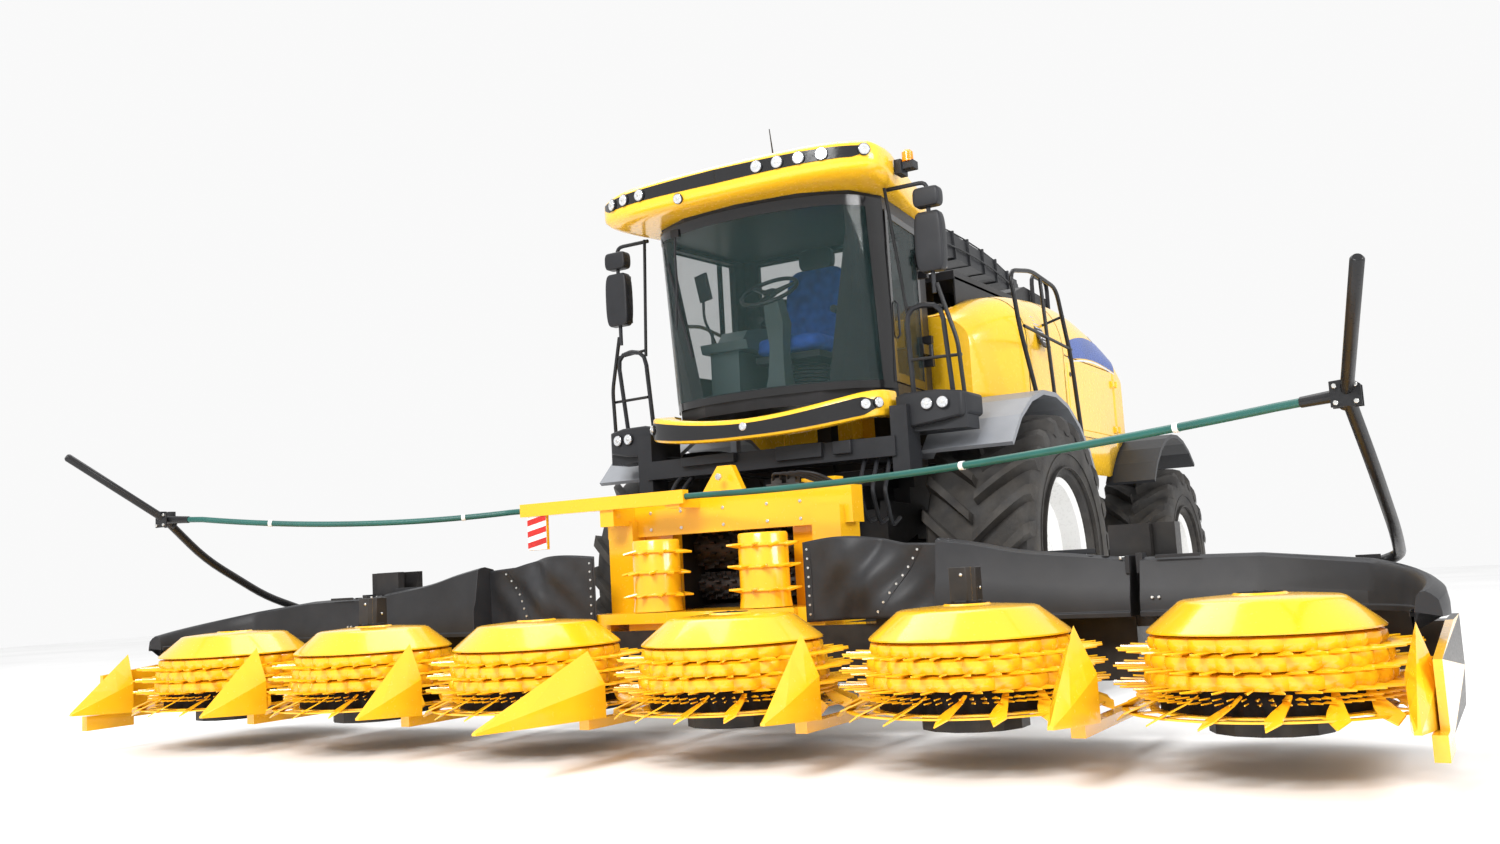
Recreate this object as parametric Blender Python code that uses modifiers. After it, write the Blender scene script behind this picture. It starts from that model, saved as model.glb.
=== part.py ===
"""Self-propelled forage harvester with a folding six-rotor maize header.

The machine faces -Y, +X is its left-hand side and the ground is z = 0.
Lengths are metres. Positions along Y come from the header's rotor line and the two axles.
"""

import math

import bmesh
import bpy
from mathutils import Matrix, Vector

# Overall layout
DIVIDER_LEAD = 1.19  # centre divider's tip ahead of the rotor line
ROTOR_TO_AXLE = 2.60  # rotor line to front axle
WHEELBASE = 3.20
REAR_OVERHANG = 1.06  # rear axle to the tow hitch's end
LENGTH = DIVIDER_LEAD + ROTOR_TO_AXLE + WHEELBASE + REAR_OVERHANG
ROTOR_Y = -LENGTH / 2 + DIVIDER_LEAD
FRONT_Y = ROTOR_Y + ROTOR_TO_AXLE
REAR_Y = FRONT_Y + WHEELBASE
GAP = 0.0003  # between pieces that touch
RUNNING = 0.006  # between pieces that move past each other
PIN_FIT = 0.0007  # between a pin and its bore
HINGE_R = 0.028  # fold, lift and post pins

# Wheels: radius, width, rim radius, track (to the tyre's middle)
FRONT_R, FRONT_WIDTH, FRONT_RIM_R, FRONT_TRACK = 0.905, 0.65, 0.49, 1.25
REAR_R, REAR_WIDTH, REAR_RIM_R, REAR_TRACK = 0.79, 0.54, 0.40, 1.30

# Header
PITCH = 1.25  # rotor spacing, so the header cuts six of these
ROTOR_R = 0.612  # over the sickle points
ROTOR_LOW, ROTOR_TOP = 0.25, 0.706
DOME_R = 0.45
HUB_R = 0.075
SHAFT_R = 0.060
BEAM_FRONT = ROTOR_Y + 0.66
BEAM_REAR = ROTOR_Y + 0.90
BEAM_LOW, BEAM_HIGH = 0.30, 0.60
FRAME_LOW = 0.17
INNER_FOLD = Vector((PITCH, 0, 0.90))
OUTER_FOLD = Vector((2 * PITCH, 0, 0.98))
DRUM_X, DRUM_Y = 0.366, ROTOR_Y + 0.80
DRUM_HIGH = 1.12
DRUM_BORE = 0.0515
DRUM_TOOTH_R = 0.21
MOUTH_HALF = 0.62  # inside of the mouth frame's posts
MOUTH_OUT = 0.80
MOUTH_FLOOR = 0.70
DRUM_LOW = MOUTH_FLOOR + GAP
MOUTH_TOP = 1.36
MOUTH_REAR = ROTOR_Y + 1.16

# Feeder and cutterhead
FEEDER_HALF = 0.44
FEEDER_WALL = 0.02
PIVOT_Y, PIVOT_Z = FRONT_Y - 0.12, 1.20  # header lift axis
HOUSING_HALF = 0.50

# Cab
CAB_FRONT = ROTOR_Y + 1.42
CAB_REAR = ROTOR_Y + 2.58
CAB_HALF = 0.80
CAB_REAR_HALF = 0.72
CAB_FLOOR, CAB_TOP = 1.93, 3.20
CAB_WALL = 0.045
GLASS = 0.008
ROOF_HALF = 1.00
ROOF_TOP = 3.46

# Body behind the cab
BODY_HALF = 1.22
BODY_REAR = REAR_Y - 0.30
SHEET = 0.03
PLATFORM_Z = 1.86
SPOUT_Y = ROTOR_Y + 3.35
SPOUT_HINGE_Z = 3.20


def clear_scene():
    for obj in list(bpy.data.objects):
        bpy.data.objects.remove(obj, do_unlink=True)


clear_scene()
parts = bpy.data.collections.new("forage_harvester")
cutters = bpy.data.collections.new("cutters")
for collection in (parts, cutters):
    bpy.context.scene.collection.children.link(collection)


def paint(name, colour, roughness, metallic=0.0, alpha=1.0):
    material = bpy.data.materials.new(name)
    material.use_nodes = True
    shader = material.node_tree.nodes["Principled BSDF"]
    shader.inputs["Base Color"].default_value = (*colour, 1)
    shader.inputs["Roughness"].default_value = roughness
    shader.inputs["Metallic"].default_value = metallic
    shader.inputs["Alpha"].default_value = alpha
    return material


YELLOW = paint("yellow_paint", (0.95, 0.55, 0.03), 0.35)
BLACK = paint("black_plastic", (0.02, 0.02, 0.022), 0.55)
STEEL = paint("dark_steel", (0.06, 0.06, 0.065), 0.5, 0.6)
GREY = paint("grey_plastic", (0.16, 0.17, 0.19), 0.5)
RUBBER = paint("tyre_rubber", (0.02, 0.02, 0.02), 0.85)
TINTED = paint("tinted_glass", (0.45, 0.58, 0.60), 0.05, 0, 0.35)
GREEN = paint("green_hose", (0.02, 0.14, 0.13), 0.45)
CANVAS = paint("black_canvas", (0.025, 0.025, 0.028), 0.7)
BLUE = paint("blue_seat", (0.02, 0.16, 0.5), 0.8)


def finished(name, mesh, material, home=None):
    """A new object in the parts collection, or in the one given."""
    obj = bpy.data.objects.new(name, mesh)
    (home or parts).objects.link(obj)
    mesh.materials.clear()
    mesh.materials.append(material)
    return obj


def as_cutter(obj):
    obj.hide_render = True
    obj.display_type = "WIRE"
    if obj.name in parts.objects:
        parts.objects.unlink(obj)
        cutters.objects.link(obj)
    return obj


def box(name, low, high, material, bevel=0.0):
    mesh = bpy.data.meshes.new(name)
    shape = bmesh.new()
    bmesh.ops.create_cube(shape, size=1)
    size = [high[i] - low[i] for i in range(3)]
    middle = [(high[i] + low[i]) / 2 for i in range(3)]
    bmesh.ops.scale(shape, vec=size, verts=shape.verts)
    bmesh.ops.translate(shape, vec=middle, verts=shape.verts)
    shape.to_mesh(mesh)
    shape.free()
    obj = finished(name, mesh, material)
    if bevel:
        edge = obj.modifiers.new("Bevel", "BEVEL")
        edge.width = bevel
        edge.segments = 2
    return obj


def rod(name, start, end, radius, material, sides=16, end_radius=None):
    """A straight cylinder or cone between two points."""
    start, end = Vector(start), Vector(end)
    mesh = bpy.data.meshes.new(name)
    shape = bmesh.new()
    bmesh.ops.create_cone(
        shape,
        cap_ends=True,
        segments=sides,
        radius1=radius,
        radius2=radius if end_radius is None else end_radius,
        depth=(end - start).length,
    )
    turn = (end - start).to_track_quat("Z", "Y").to_matrix().to_4x4()
    bmesh.ops.transform(shape, matrix=Matrix.Translation((start + end) / 2) @ turn, verts=shape.verts)
    shape.to_mesh(mesh)
    shape.free()
    return finished(name, mesh, material)


def to_mesh(obj, name, material):
    """Replaces a curve, or an object with modifiers, by the closed mesh that it makes."""
    graph = bpy.context.evaluated_depsgraph_get()
    graph.update()
    mesh = bpy.data.meshes.new_from_object(obj.evaluated_get(graph))
    shape = bmesh.new()
    shape.from_mesh(mesh)
    bmesh.ops.remove_doubles(shape, verts=shape.verts, dist=0.00005)
    bmesh.ops.recalc_face_normals(shape, faces=shape.faces)
    shape.to_mesh(mesh)
    shape.free()
    made = finished(name, mesh, material)
    made.matrix_world = obj.matrix_world.copy()
    bpy.data.objects.remove(obj, do_unlink=True)
    made.name = name
    return made


def plate(name, outline, low, high, plane, material, bevel=0.0):
    """A flat outline drawn in plane XY, YZ or XZ, as thick as low to high along the third axis."""
    curve = bpy.data.curves.new(name + "_outline", "CURVE")
    curve.dimensions = "2D"
    curve.fill_mode = "BOTH"
    curve.extrude = (high - low) / 2
    line = curve.splines.new("POLY")
    line.points.add(len(outline) - 1)
    for point, (u, v) in zip(line.points, outline):
        point.co = (u, v, 0, 1)
    line.use_cyclic_u = True
    obj = bpy.data.objects.new(name + "_outline", curve)
    parts.objects.link(obj)
    middle = (high + low) / 2
    columns = {
        "XY": ((1, 0, 0), (0, 1, 0), (0, 0, 1), (0, 0, middle)),
        "YZ": ((0, 1, 0), (0, 0, 1), (1, 0, 0), (middle, 0, 0)),
        "XZ": ((1, 0, 0), (0, 0, 1), (0, -1, 0), (0, middle, 0)),
    }[plane]
    obj.matrix_world = Matrix([(*[c[row] for c in columns],) for row in range(3)] + [(0, 0, 0, 1)])
    made = to_mesh(obj, name, material)
    if bevel:
        edge = made.modifiers.new("Bevel", "BEVEL")
        edge.width = bevel
        edge.segments = 2
        edge.limit_method = "ANGLE"
    return made


def tube(name, points, radius, material, sides=3, smooth=0.0, closed=False):
    """A round bar through the points, its corners rounded to the given radius."""
    route = []
    points = [Vector(p) for p in points]
    for i, point in enumerate(points):
        inner = closed or 0 < i < len(points) - 1
        if not (smooth and inner):
            route.append(point)
            continue
        before, after = points[i - 1] - point, points[(i + 1) % len(points)] - point
        reach = min(smooth, before.length * 0.45, after.length * 0.45)
        first = point + before.normalized() * reach
        last = point + after.normalized() * reach
        for step in range(4):
            t = step / 3
            route.append(first * (1 - t) ** 2 + point * 2 * t * (1 - t) + last * t**2)
    curve = bpy.data.curves.new(name + "_line", "CURVE")
    curve.dimensions = "3D"
    curve.bevel_depth = radius
    curve.bevel_resolution = sides - 2
    curve.use_fill_caps = True
    line = curve.splines.new("POLY")
    line.points.add(len(route) - 1)
    for spot, place in zip(line.points, route):
        spot.co = (*place, 1)
    line.use_cyclic_u = closed
    obj = bpy.data.objects.new(name + "_line", curve)
    parts.objects.link(obj)
    return to_mesh(obj, name, material)


def turned(name, profile, steps, material, centre=(0, 0, 0), axis="Z"):
    """A profile of (radius, height), outer side from top to bottom, turned about an axis."""
    mesh = bpy.data.meshes.new(name)
    points = [(r, 0, h) for r, h in profile]
    closed = abs(profile[0][0]) > 1e-6
    edges = [(i, i + 1) for i in range(len(points) - 1)]
    if closed:
        edges.append((len(points) - 1, 0))
    mesh.from_pydata(points, edges, [])
    obj = finished(name + "_profile", mesh, material)
    screw = obj.modifiers.new("Screw", "SCREW")
    screw.steps = steps
    screw.render_steps = steps
    screw.use_merge_vertices = True
    screw.merge_threshold = 0.0001
    turn = {
        "Z": Matrix.Identity(4),
        "X": Matrix.Rotation(math.pi / 2, 4, "Y"),
        "-X": Matrix.Rotation(-math.pi / 2, 4, "Y"),
        "Y": Matrix.Rotation(-math.pi / 2, 4, "X"),
    }[axis]
    obj.matrix_world = Matrix.Translation(centre) @ turn
    bpy.context.view_layer.update()
    return to_mesh(obj, name, material)


def loft(name, sections, material, closed=False):
    """Sections with as many points each, joined in turn, with a cap at each end."""
    mesh = bpy.data.meshes.new(name)
    shape = bmesh.new()
    rings = [[shape.verts.new(point) for point in section] for section in sections]
    count = len(rings[0])
    pairs = list(zip(rings, rings[1:]))
    if closed:
        pairs.append((rings[-1], rings[0]))
    for first, second in pairs:
        for i in range(count):
            j = (i + 1) % count
            shape.faces.new((first[i], first[j], second[j], second[i]))
    if not closed:
        shape.faces.new(rings[0][::-1])
        shape.faces.new(rings[-1])
    bmesh.ops.recalc_face_normals(shape, faces=shape.faces)
    bmesh.ops.triangulate(shape, faces=[f for f in shape.faces if len(f.verts) == 4], quad_method="FIXED")
    shape.to_mesh(mesh)
    shape.free()
    return finished(name, mesh, material)


def combine(base, others, operation):
    for other in others:
        as_cutter(other)
        step = base.modifiers.new(operation.title(), "BOOLEAN")
        step.operation = operation
        step.object = other
        step.solver = "EXACT"
    return base


def joined(base, others):
    return combine(base, others, "UNION")


def cut(base, others):
    return combine(base, others, "DIFFERENCE")


def flipped(point):
    return (-point[0], *point[1:])


def mirrored(source, name):
    """The right-hand copy of a left-hand piece, as a mesh of its own."""
    graph = bpy.context.evaluated_depsgraph_get()
    graph.update()
    mesh = bpy.data.meshes.new_from_object(source.evaluated_get(graph))
    mesh.transform(Matrix.Diagonal((-1, 1, 1, 1)) @ source.matrix_world)
    mesh.flip_normals()
    return finished(name, mesh, source.data.materials[0])


def both_sides(build, name):
    """Builds NAME_left at +X, and NAME_right as its mirror image."""
    left = build(name + "_left")
    return left, mirrored(left, name + "_right")


def rect(x0, x1, z0, z1, y):
    return [(x0, y, z0), (x1, y, z0), (x1, y, z1), (x0, y, z1)]


# ---------------------------------------------------------------- wheels and axles


def wheel(name, x, y, radius, width, rim_r, side):
    """Tyre, rim and hub dish as one turned body. The dish is set in from the outer side."""
    half = width / 2
    shoulder = radius - 0.05
    dish = 0.10
    profile = [
        (0.10, dish),
        (0.26, dish),
        (rim_r - 0.05, half - 0.05),
        (rim_r, half),
        (radius - 0.20, half + 0.02),
        (shoulder, half - 0.02),
        (radius, half - 0.12),
        (radius, 0.12 - half),
        (shoulder, 0.02 - half),
        (radius - 0.20, -half - 0.02),
        (rim_r - 0.03, -half),
        (rim_r - 0.03, dish - 0.05),
        (0.10, dish - 0.02),
    ]
    return turned(name, profile, WHEEL_SIDES, RUBBER, (side * x, y, radius), "X" if side > 0 else "-X")


def make_wheels():
    for side, label in ((1, "left"), (-1, "right")):
        wheel(f"front_wheel_{label}", FRONT_TRACK, FRONT_Y, FRONT_R, FRONT_WIDTH, FRONT_RIM_R, side)
        wheel(f"rear_wheel_{label}", REAR_TRACK, REAR_Y, REAR_R, REAR_WIDTH, REAR_RIM_R, side)


WHEEL_SIDES = 28
DISH = 0.10  # hub dish's outer face from the tyre's middle
HUB_BORE = 0.10
FRONT_HUB_IN = FRONT_TRACK + DISH - 0.02
REAR_HUB_IN = REAR_TRACK + DISH - 0.02
KING_X = REAR_TRACK - 0.42  # kingpin, inboard of the rear tyre


def make_axles():
    beam = box("front_axle", (-0.80, FRONT_Y - 0.13, FRONT_R - 0.15), (0.80, FRONT_Y + 0.13, FRONT_R + 0.15), STEEL, 0.02)
    stubs = []
    for side in (1, -1):
        inner, outer = side * 0.78, side * (FRONT_HUB_IN - 0.02 - GAP)
        stubs.append(rod(f"front_drive_{side}", (inner, FRONT_Y, FRONT_R), (outer, FRONT_Y, FRONT_R), 0.20, STEEL, 24))
        stubs.append(
            rod(f"front_spigot_{side}", (inner, FRONT_Y, FRONT_R), (side * (FRONT_HUB_IN + 0.06), FRONT_Y, FRONT_R), HUB_BORE - PIN_FIT, STEEL, WHEEL_SIDES)
        )
    joined(beam, stubs)

    low, high = REAR_R - 0.145, REAR_R + 0.145
    beam = box("rear_axle", (-KING_X + 0.10, REAR_Y - 0.09, low), (KING_X - 0.10, REAR_Y + 0.09, high), STEEL, 0.015)
    forks = []
    for side in (1, -1):
        for z in (REAR_R + 0.085, REAR_R - 0.145):
            x = sorted((side * (KING_X - 0.16), side * (KING_X + 0.06)))
            forks.append(box(f"fork_{side}_{z:.2f}", (x[0], REAR_Y - 0.07, z), (x[1], REAR_Y + 0.07, z + 0.06), STEEL))
        forks.append(
            rod(f"king_{side}", (side * KING_X, REAR_Y, REAR_R - 0.12), (side * KING_X, REAR_Y, REAR_R + 0.12), HINGE_R, STEEL)
        )
    mount = box("rear_axle_mount", (-0.16, REAR_Y - 0.14, REAR_R + 0.05), (0.16, REAR_Y + 0.14, RAIL_LOW - GAP), STEEL)
    joined(beam, forks + [mount])

    def knuckle(name):
        z = REAR_R
        block = box(name, (KING_X - 0.05, REAR_Y - 0.05, z - 0.079), (KING_X + 0.11, REAR_Y + 0.05, z + 0.079), STEEL)
        flange = rod("knuckle_flange", (KING_X + 0.10, REAR_Y, z), (REAR_HUB_IN - 0.02 - GAP, REAR_Y, z), 0.13, STEEL, 24)
        spigot = rod("knuckle_spigot", (KING_X + 0.10, REAR_Y, z), (REAR_HUB_IN + 0.06, REAR_Y, z), HUB_BORE - PIN_FIT, STEEL, WHEEL_SIDES)
        bore = rod("knuckle_bore", (KING_X, REAR_Y, z - 0.2), (KING_X, REAR_Y, z + 0.2), HINGE_R + PIN_FIT, STEEL)
        joined(block, [flange, spigot])
        return cut(block, [bore])

    both_sides(knuckle, "steering_knuckle")


# ---------------------------------------------------------------- chassis

RAIL_LOW, RAIL_HIGH = 1.12, 1.40
RAIL_X = 0.46  # inside of the front rails
REAR_RAIL_X = 0.30
RAIL_WIDE = 0.12
FRAME_FRONT = FRONT_Y + 0.75
LIFT_PIN_R = 0.05


def pair_box(name, x0, x1, y0, y1, z0, z1, material=None):
    """The same box on the left and on the right."""
    return [box(f"{name}_{side}", (min(side * x0, side * x1), y0, z0), (max(side * x0, side * x1), y1, z1), material or STEEL) for side in (1, -1)]


def make_chassis():
    outer = RAIL_X + RAIL_WIDE
    rear_outer = REAR_RAIL_X + RAIL_WIDE
    frame = box("main_frame", (-outer, FRAME_FRONT, RAIL_LOW), (outer, FRAME_FRONT + 0.12, RAIL_HIGH), STEEL)
    pieces = pair_box("front_rail", RAIL_X, outer, FRONT_Y - 0.20, FRAME_FRONT + 0.10, RAIL_LOW, RAIL_HIGH)
    pieces += pair_box("rear_rail", REAR_RAIL_X, rear_outer, FRAME_FRONT + 0.02, REAR_Y + 0.62, RAIL_LOW, RAIL_HIGH)
    pieces += [
        box("rear_cross", (-0.42, REAR_Y + 0.45, 0.86), (0.42, REAR_Y + 0.62, RAIL_HIGH), STEEL),
        box("hitch", (-0.09, REAR_Y + 0.55, 0.80), (0.09, REAR_Y + REAR_OVERHANG, 0.95), STEEL),
        box("axle_cross", (-0.35, REAR_Y - 0.16, RAIL_LOW), (0.35, REAR_Y + 0.16, RAIL_LOW + 0.16), STEEL),
        box("body_cross", (-BODY_HALF + SHEET + GAP, FRAME_FRONT + 0.02, RAIL_HIGH + 0.22), (BODY_HALF - SHEET - GAP, FRAME_FRONT + 0.10, RAIL_HIGH + 0.30), STEEL),
        box("rear_body_cross", (-BODY_HALF + SHEET + GAP, REAR_Y - 0.73, 1.92), (BODY_HALF - SHEET - GAP, REAR_Y - 0.65, 2.0), STEEL),
    ]
    pieces += pair_box("axle_seat", RAIL_X, outer, FRONT_Y - 0.12, FRONT_Y + 0.12, FRONT_R + 0.15 + GAP, RAIL_LOW + 0.02)
    pieces += pair_box("cab_post", RAIL_X, outer, FRONT_Y - 0.12, FRONT_Y + 0.10, RAIL_HIGH - 0.05, UNDER_CAB - 0.02)
    pieces += pair_box("cab_beam", RAIL_X, outer, at(1.75), FRONT_Y + 0.14, UNDER_CAB - 0.14, UNDER_CAB - GAP)
    pieces += pair_box("deck_post", RAIL_X, outer, FRAME_FRONT, FRAME_FRONT + 0.12, RAIL_HIGH - 0.05, DECK_Z - GAP)
    pieces += pair_box("rear_post", REAR_RAIL_X, rear_outer, REAR_Y - 0.75, REAR_Y - 0.63, RAIL_HIGH - 0.05, DECK_Z - GAP)
    for side in (1, -1):
        pieces.append(rod(f"lift_pin_{side}", (side * (RAIL_X + 0.02), PIVOT_Y, PIVOT_Z), (side * (outer + 0.06), PIVOT_Y, PIVOT_Z), LIFT_PIN_R, STEEL, 32))
    joined(frame, pieces)

    half = RAIL_X - GAP
    housing = box("cutterhead_housing", (-half, PIVOT_Y - 0.20, 0.72), (half, FRAME_FRONT - GAP, UNDER_CAB - 0.16), STEEL, 0.0)
    axle_slot = box("axle_slot", (-1, FRONT_Y - 0.13 - GAP, FRONT_R - 0.40), (1, FRONT_Y + 0.13 + GAP, FRONT_R + 0.15 + GAP), STEEL)
    throat = box("cutter_throat", (-0.30, PIVOT_Y - 0.5, 1.12), (0.30, PIVOT_Y - 0.05, 1.36), STEEL)
    cut(housing, [axle_slot, throat])
    mount = REAR_RAIL_X - GAP
    box("engine_block", (-mount, FRAME_FRONT + 0.45, RAIL_LOW + 0.02), (mount, REAR_Y - 0.80, 2.15), GREY, 0.0)


BODY_LOW = 1.50
UNDER_CAB = CAB_FLOOR - 0.24
DECK_Z = 2.86



# ---------------------------------------------------------------- header


def at(y):
    """A place along Y, measured from the rotor line."""
    return ROTOR_Y + y


def make_rotors():
    profile = [
        (HUB_R, ROTOR_TOP),
        (0.31, ROTOR_TOP),
        (DOME_R, ROTOR_TOP - 0.11),
        (DOME_R + 0.02, 0.46),
        (ROTOR_R - 0.05, 0.45),
        (DOME_R, 0.43),
        (DOME_R, 0.30),
        (ROTOR_R, 0.285),
        (ROTOR_R, 0.265),
        (DOME_R, ROTOR_LOW),
        (HUB_R, ROTOR_LOW),
    ]
    for number in range(6):
        turned(f"rotor_{number + 1}", profile, 20, YELLOW, ((number - 2.5) * PITCH, ROTOR_Y, 0))


def gearbox(name, x):
    """Housing and fixed shaft under a rotor, with the arm back to the beam."""
    top = ROTOR_LOW - GAP
    return [
        rod(name + "_housing", (x, ROTOR_Y, FRAME_LOW), (x, ROTOR_Y, top), 0.24, YELLOW, 14),
        rod(name + "_shaft", (x, ROTOR_Y, FRAME_LOW + 0.01), (x, ROTOR_Y, ROTOR_TOP - 0.02), SHAFT_R, YELLOW, 10),
        box(name + "_arm", (x - 0.10, ROTOR_Y, FRAME_LOW + 0.005), (x + 0.10, BEAM_FRONT + 0.03, top - 0.02), YELLOW),
        box(name + "_knee", (x - 0.10, BEAM_FRONT, FRAME_LOW + 0.005), (x + 0.10, BEAM_FRONT + 0.15, BEAM_LOW + 0.05), YELLOW),
    ]


def divider(name, x, lead, half, rise, rooted=True):
    """A pointed snout between two rotors: low at its tip, high at its back, on a runner from the beam."""
    back, tip = at(-0.36), at(-lead)
    low = 0.235
    sections = []
    for t in (0.0, 0.35, 0.75, 1.0):
        y = tip + (back - tip) * t
        wide = 0.012 + (half - 0.012) * t**0.8
        top = 0.275 + (rise - 0.275) * t
        bottom = low + 0.02 * (1 - t)
        middle = (bottom + top) / 2
        sections.append([(x - wide, y, bottom), (x + wide, y, bottom), (x + wide, y, middle), (x, y, top), (x - wide, y, middle)])
    pieces = [loft(name, sections, YELLOW)]
    if rooted:
        floor = FRAME_LOW + 0.01
        pieces.append(box(name + "_stalk", (x - 0.03, back - 0.05, floor), (x + 0.03, at(-0.31), low + 0.10), YELLOW))
        pieces.append(box(name + "_runner", (x - 0.03, at(-0.33), floor), (x + 0.03, BEAM_FRONT + 0.05, ROTOR_LOW - 0.025), YELLOW))
        pieces.append(box(name + "_heel", (x - 0.03, BEAM_FRONT, floor), (x + 0.03, BEAM_FRONT + 0.15, BEAM_LOW + 0.05), YELLOW))
    return pieces


def fold_ears(name, axis, ys, side_in, foot_z, foot_x):
    """Upright lugs round a fold axis along Y. Each stands on the beam between foot_x and the axis."""
    made = []
    for low, high in ys:
        x0, x1 = sorted((foot_x, axis.x + side_in * 0.045))
        made.append(box(f"{name}_{low:.2f}", (x0, low, foot_z), (x1, high, axis.z + 0.05), YELLOW))
    return made


EAR_Y = (at(0.67), at(0.89))  # along the fold pins
EAR = 0.05


def fold_joint(axis, beam_end_in, beam_end_out):
    """Lugs and pin of the inboard piece, and the lug and bore of the outboard piece."""
    y0, y1 = EAR_Y
    inboard = fold_ears("ear_in", axis, ((y0, y0 + EAR), (y1 - EAR, y1)), 1, BEAM_HIGH - 0.05, beam_end_in - 0.10)
    inboard.append(rod("fold_pin", (axis.x, y0 + 0.01, axis.z), (axis.x, y1 - 0.01, axis.z), HINGE_R, YELLOW))
    outboard = fold_ears("ear_out", axis, ((y0 + EAR + RUNNING, y1 - EAR - RUNNING),), -1, BEAM_HIGH - 0.05, beam_end_out + 0.10)
    bore = rod("fold_bore", (axis.x, y0 - 0.1, axis.z), (axis.x, y1 + 0.1, axis.z), HINGE_R + PIN_FIT, YELLOW)
    return inboard, outboard, bore


END_GAP = 0.05  # beam ends each side of a fold line


def make_centre():
    beam = box("centre_frame", (-PITCH + END_GAP, BEAM_FRONT, BEAM_LOW), (PITCH - END_GAP, BEAM_REAR, BEAM_HIGH), YELLOW)
    pieces = gearbox("centre_right", -PITCH / 2) + gearbox("centre_left", PITCH / 2)
    pieces += divider("divider_0", 0, DIVIDER_LEAD, 0.10, 0.56)
    for side in (1, -1):
        pieces += divider(f"divider_{side}", side * (PITCH - 0.035), 0.745, 0.08, 0.62)
        inboard, outboard, bore = fold_joint(INNER_FOLD, PITCH - END_GAP, PITCH + END_GAP)
        for spare in outboard + [bore]:
            bpy.data.objects.remove(spare, do_unlink=True)
        if side < 0:
            for ear in inboard:
                ear.data.transform(Matrix.Diagonal((-1, 1, 1, 1)))
                ear.data.flip_normals()
        pieces += inboard
    joined(beam, pieces)


def make_mouth():
    """Frame round the crop's way in: two posts, a top beam with a lug, a floor and the coupling behind."""
    top = box("mouth_frame", (-MOUTH_OUT - 0.05, at(0.98), 1.15), (MOUTH_OUT + 0.05, at(1.12), MOUTH_TOP), YELLOW)
    pieces = []
    for side in (1, -1):
        x = sorted((side * MOUTH_HALF, side * MOUTH_OUT))
        pieces.append(box(f"mouth_post_{side}", (x[0], at(0.92), BEAM_HIGH + GAP), (x[1], MOUTH_REAR, 1.25), YELLOW))
        pieces.append(box(f"mouth_cheek_{side}", (*x[:1], at(0.66), BEAM_HIGH + GAP), (x[1], at(0.94), MOUTH_FLOOR), YELLOW))
        inner = sorted((side * 0.42, side * (MOUTH_HALF + 0.02)))
        pieces.append(box(f"mouth_side_{side}", (inner[0], MOUTH_REAR - 0.10, MOUTH_FLOOR - 0.05), (inner[1], MOUTH_REAR, 1.20), YELLOW))
        pieces.append(rod(f"drum_shaft_{side}", (side * DRUM_X, DRUM_Y, MOUTH_FLOOR - 0.02), (side * DRUM_X, DRUM_Y, DRUM_HIGH - 0.03), 0.05, YELLOW))
    pieces.append(box("mouth_floor", (-MOUTH_HALF - 0.02, at(0.62), MOUTH_FLOOR - 0.06), (MOUTH_HALF + 0.02, MOUTH_REAR, MOUTH_FLOOR), YELLOW))
    pieces.append(box("mouth_foot", (-0.5, BEAM_FRONT + 0.02, BEAM_HIGH + GAP), (0.5, BEAM_REAR, MOUTH_FLOOR - 0.05), YELLOW))
    lug = [(-0.20, MOUTH_TOP - 0.02), (0.14, MOUTH_TOP - 0.02), (0.05, 1.54), (-0.05, 1.54)]
    pieces.append(plate("mouth_lug", lug, at(1.02), at(1.07), "XZ", YELLOW))
    pieces.append(box("guide_channel", (-1.35, at(0.74), 1.32), (-0.12, at(0.80), 1.40), YELLOW))
    pieces.append(box("channel_foot", (-0.74, at(0.76), 1.22), (-0.64, at(1.05), 1.34), YELLOW))
    pieces.append(box("channel_foot_in", (-0.26, at(0.76), 1.30), (-0.16, at(1.05), MOUTH_TOP), YELLOW))
    pieces.append(box("marker_board", (-1.30, at(0.755), 1.11), (-1.15, at(0.775), 1.33), YELLOW))
    for side in (1, -1):
        x = sorted((side * 0.50, side * 0.72))
        pieces.append(box(f"hose_block_{side}", (x[0], at(1.05), 1.30), (x[1], at(1.15), 1.42), YELLOW))
    joined(top, pieces)

    profile = [(DRUM_BORE, DRUM_HIGH), (0.15, DRUM_HIGH)]
    for z in (1.05, 0.93, 0.80):
        profile += [(0.15, z + 0.015), (DRUM_TOOTH_R, z), (0.15, z - 0.015)]
    profile += [(0.15, DRUM_LOW), (DRUM_BORE, DRUM_LOW)]
    for side, label in ((1, "left"), (-1, "right")):
        turned(f"feed_drum_{label}", profile, 16, YELLOW, (side * DRUM_X, DRUM_Y, 0))


ROLL_Y = MOUTH_REAR + 0.20
ROLLS = (("upper", 1.06, 0.13), ("lower", 0.83, 0.09))


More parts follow.
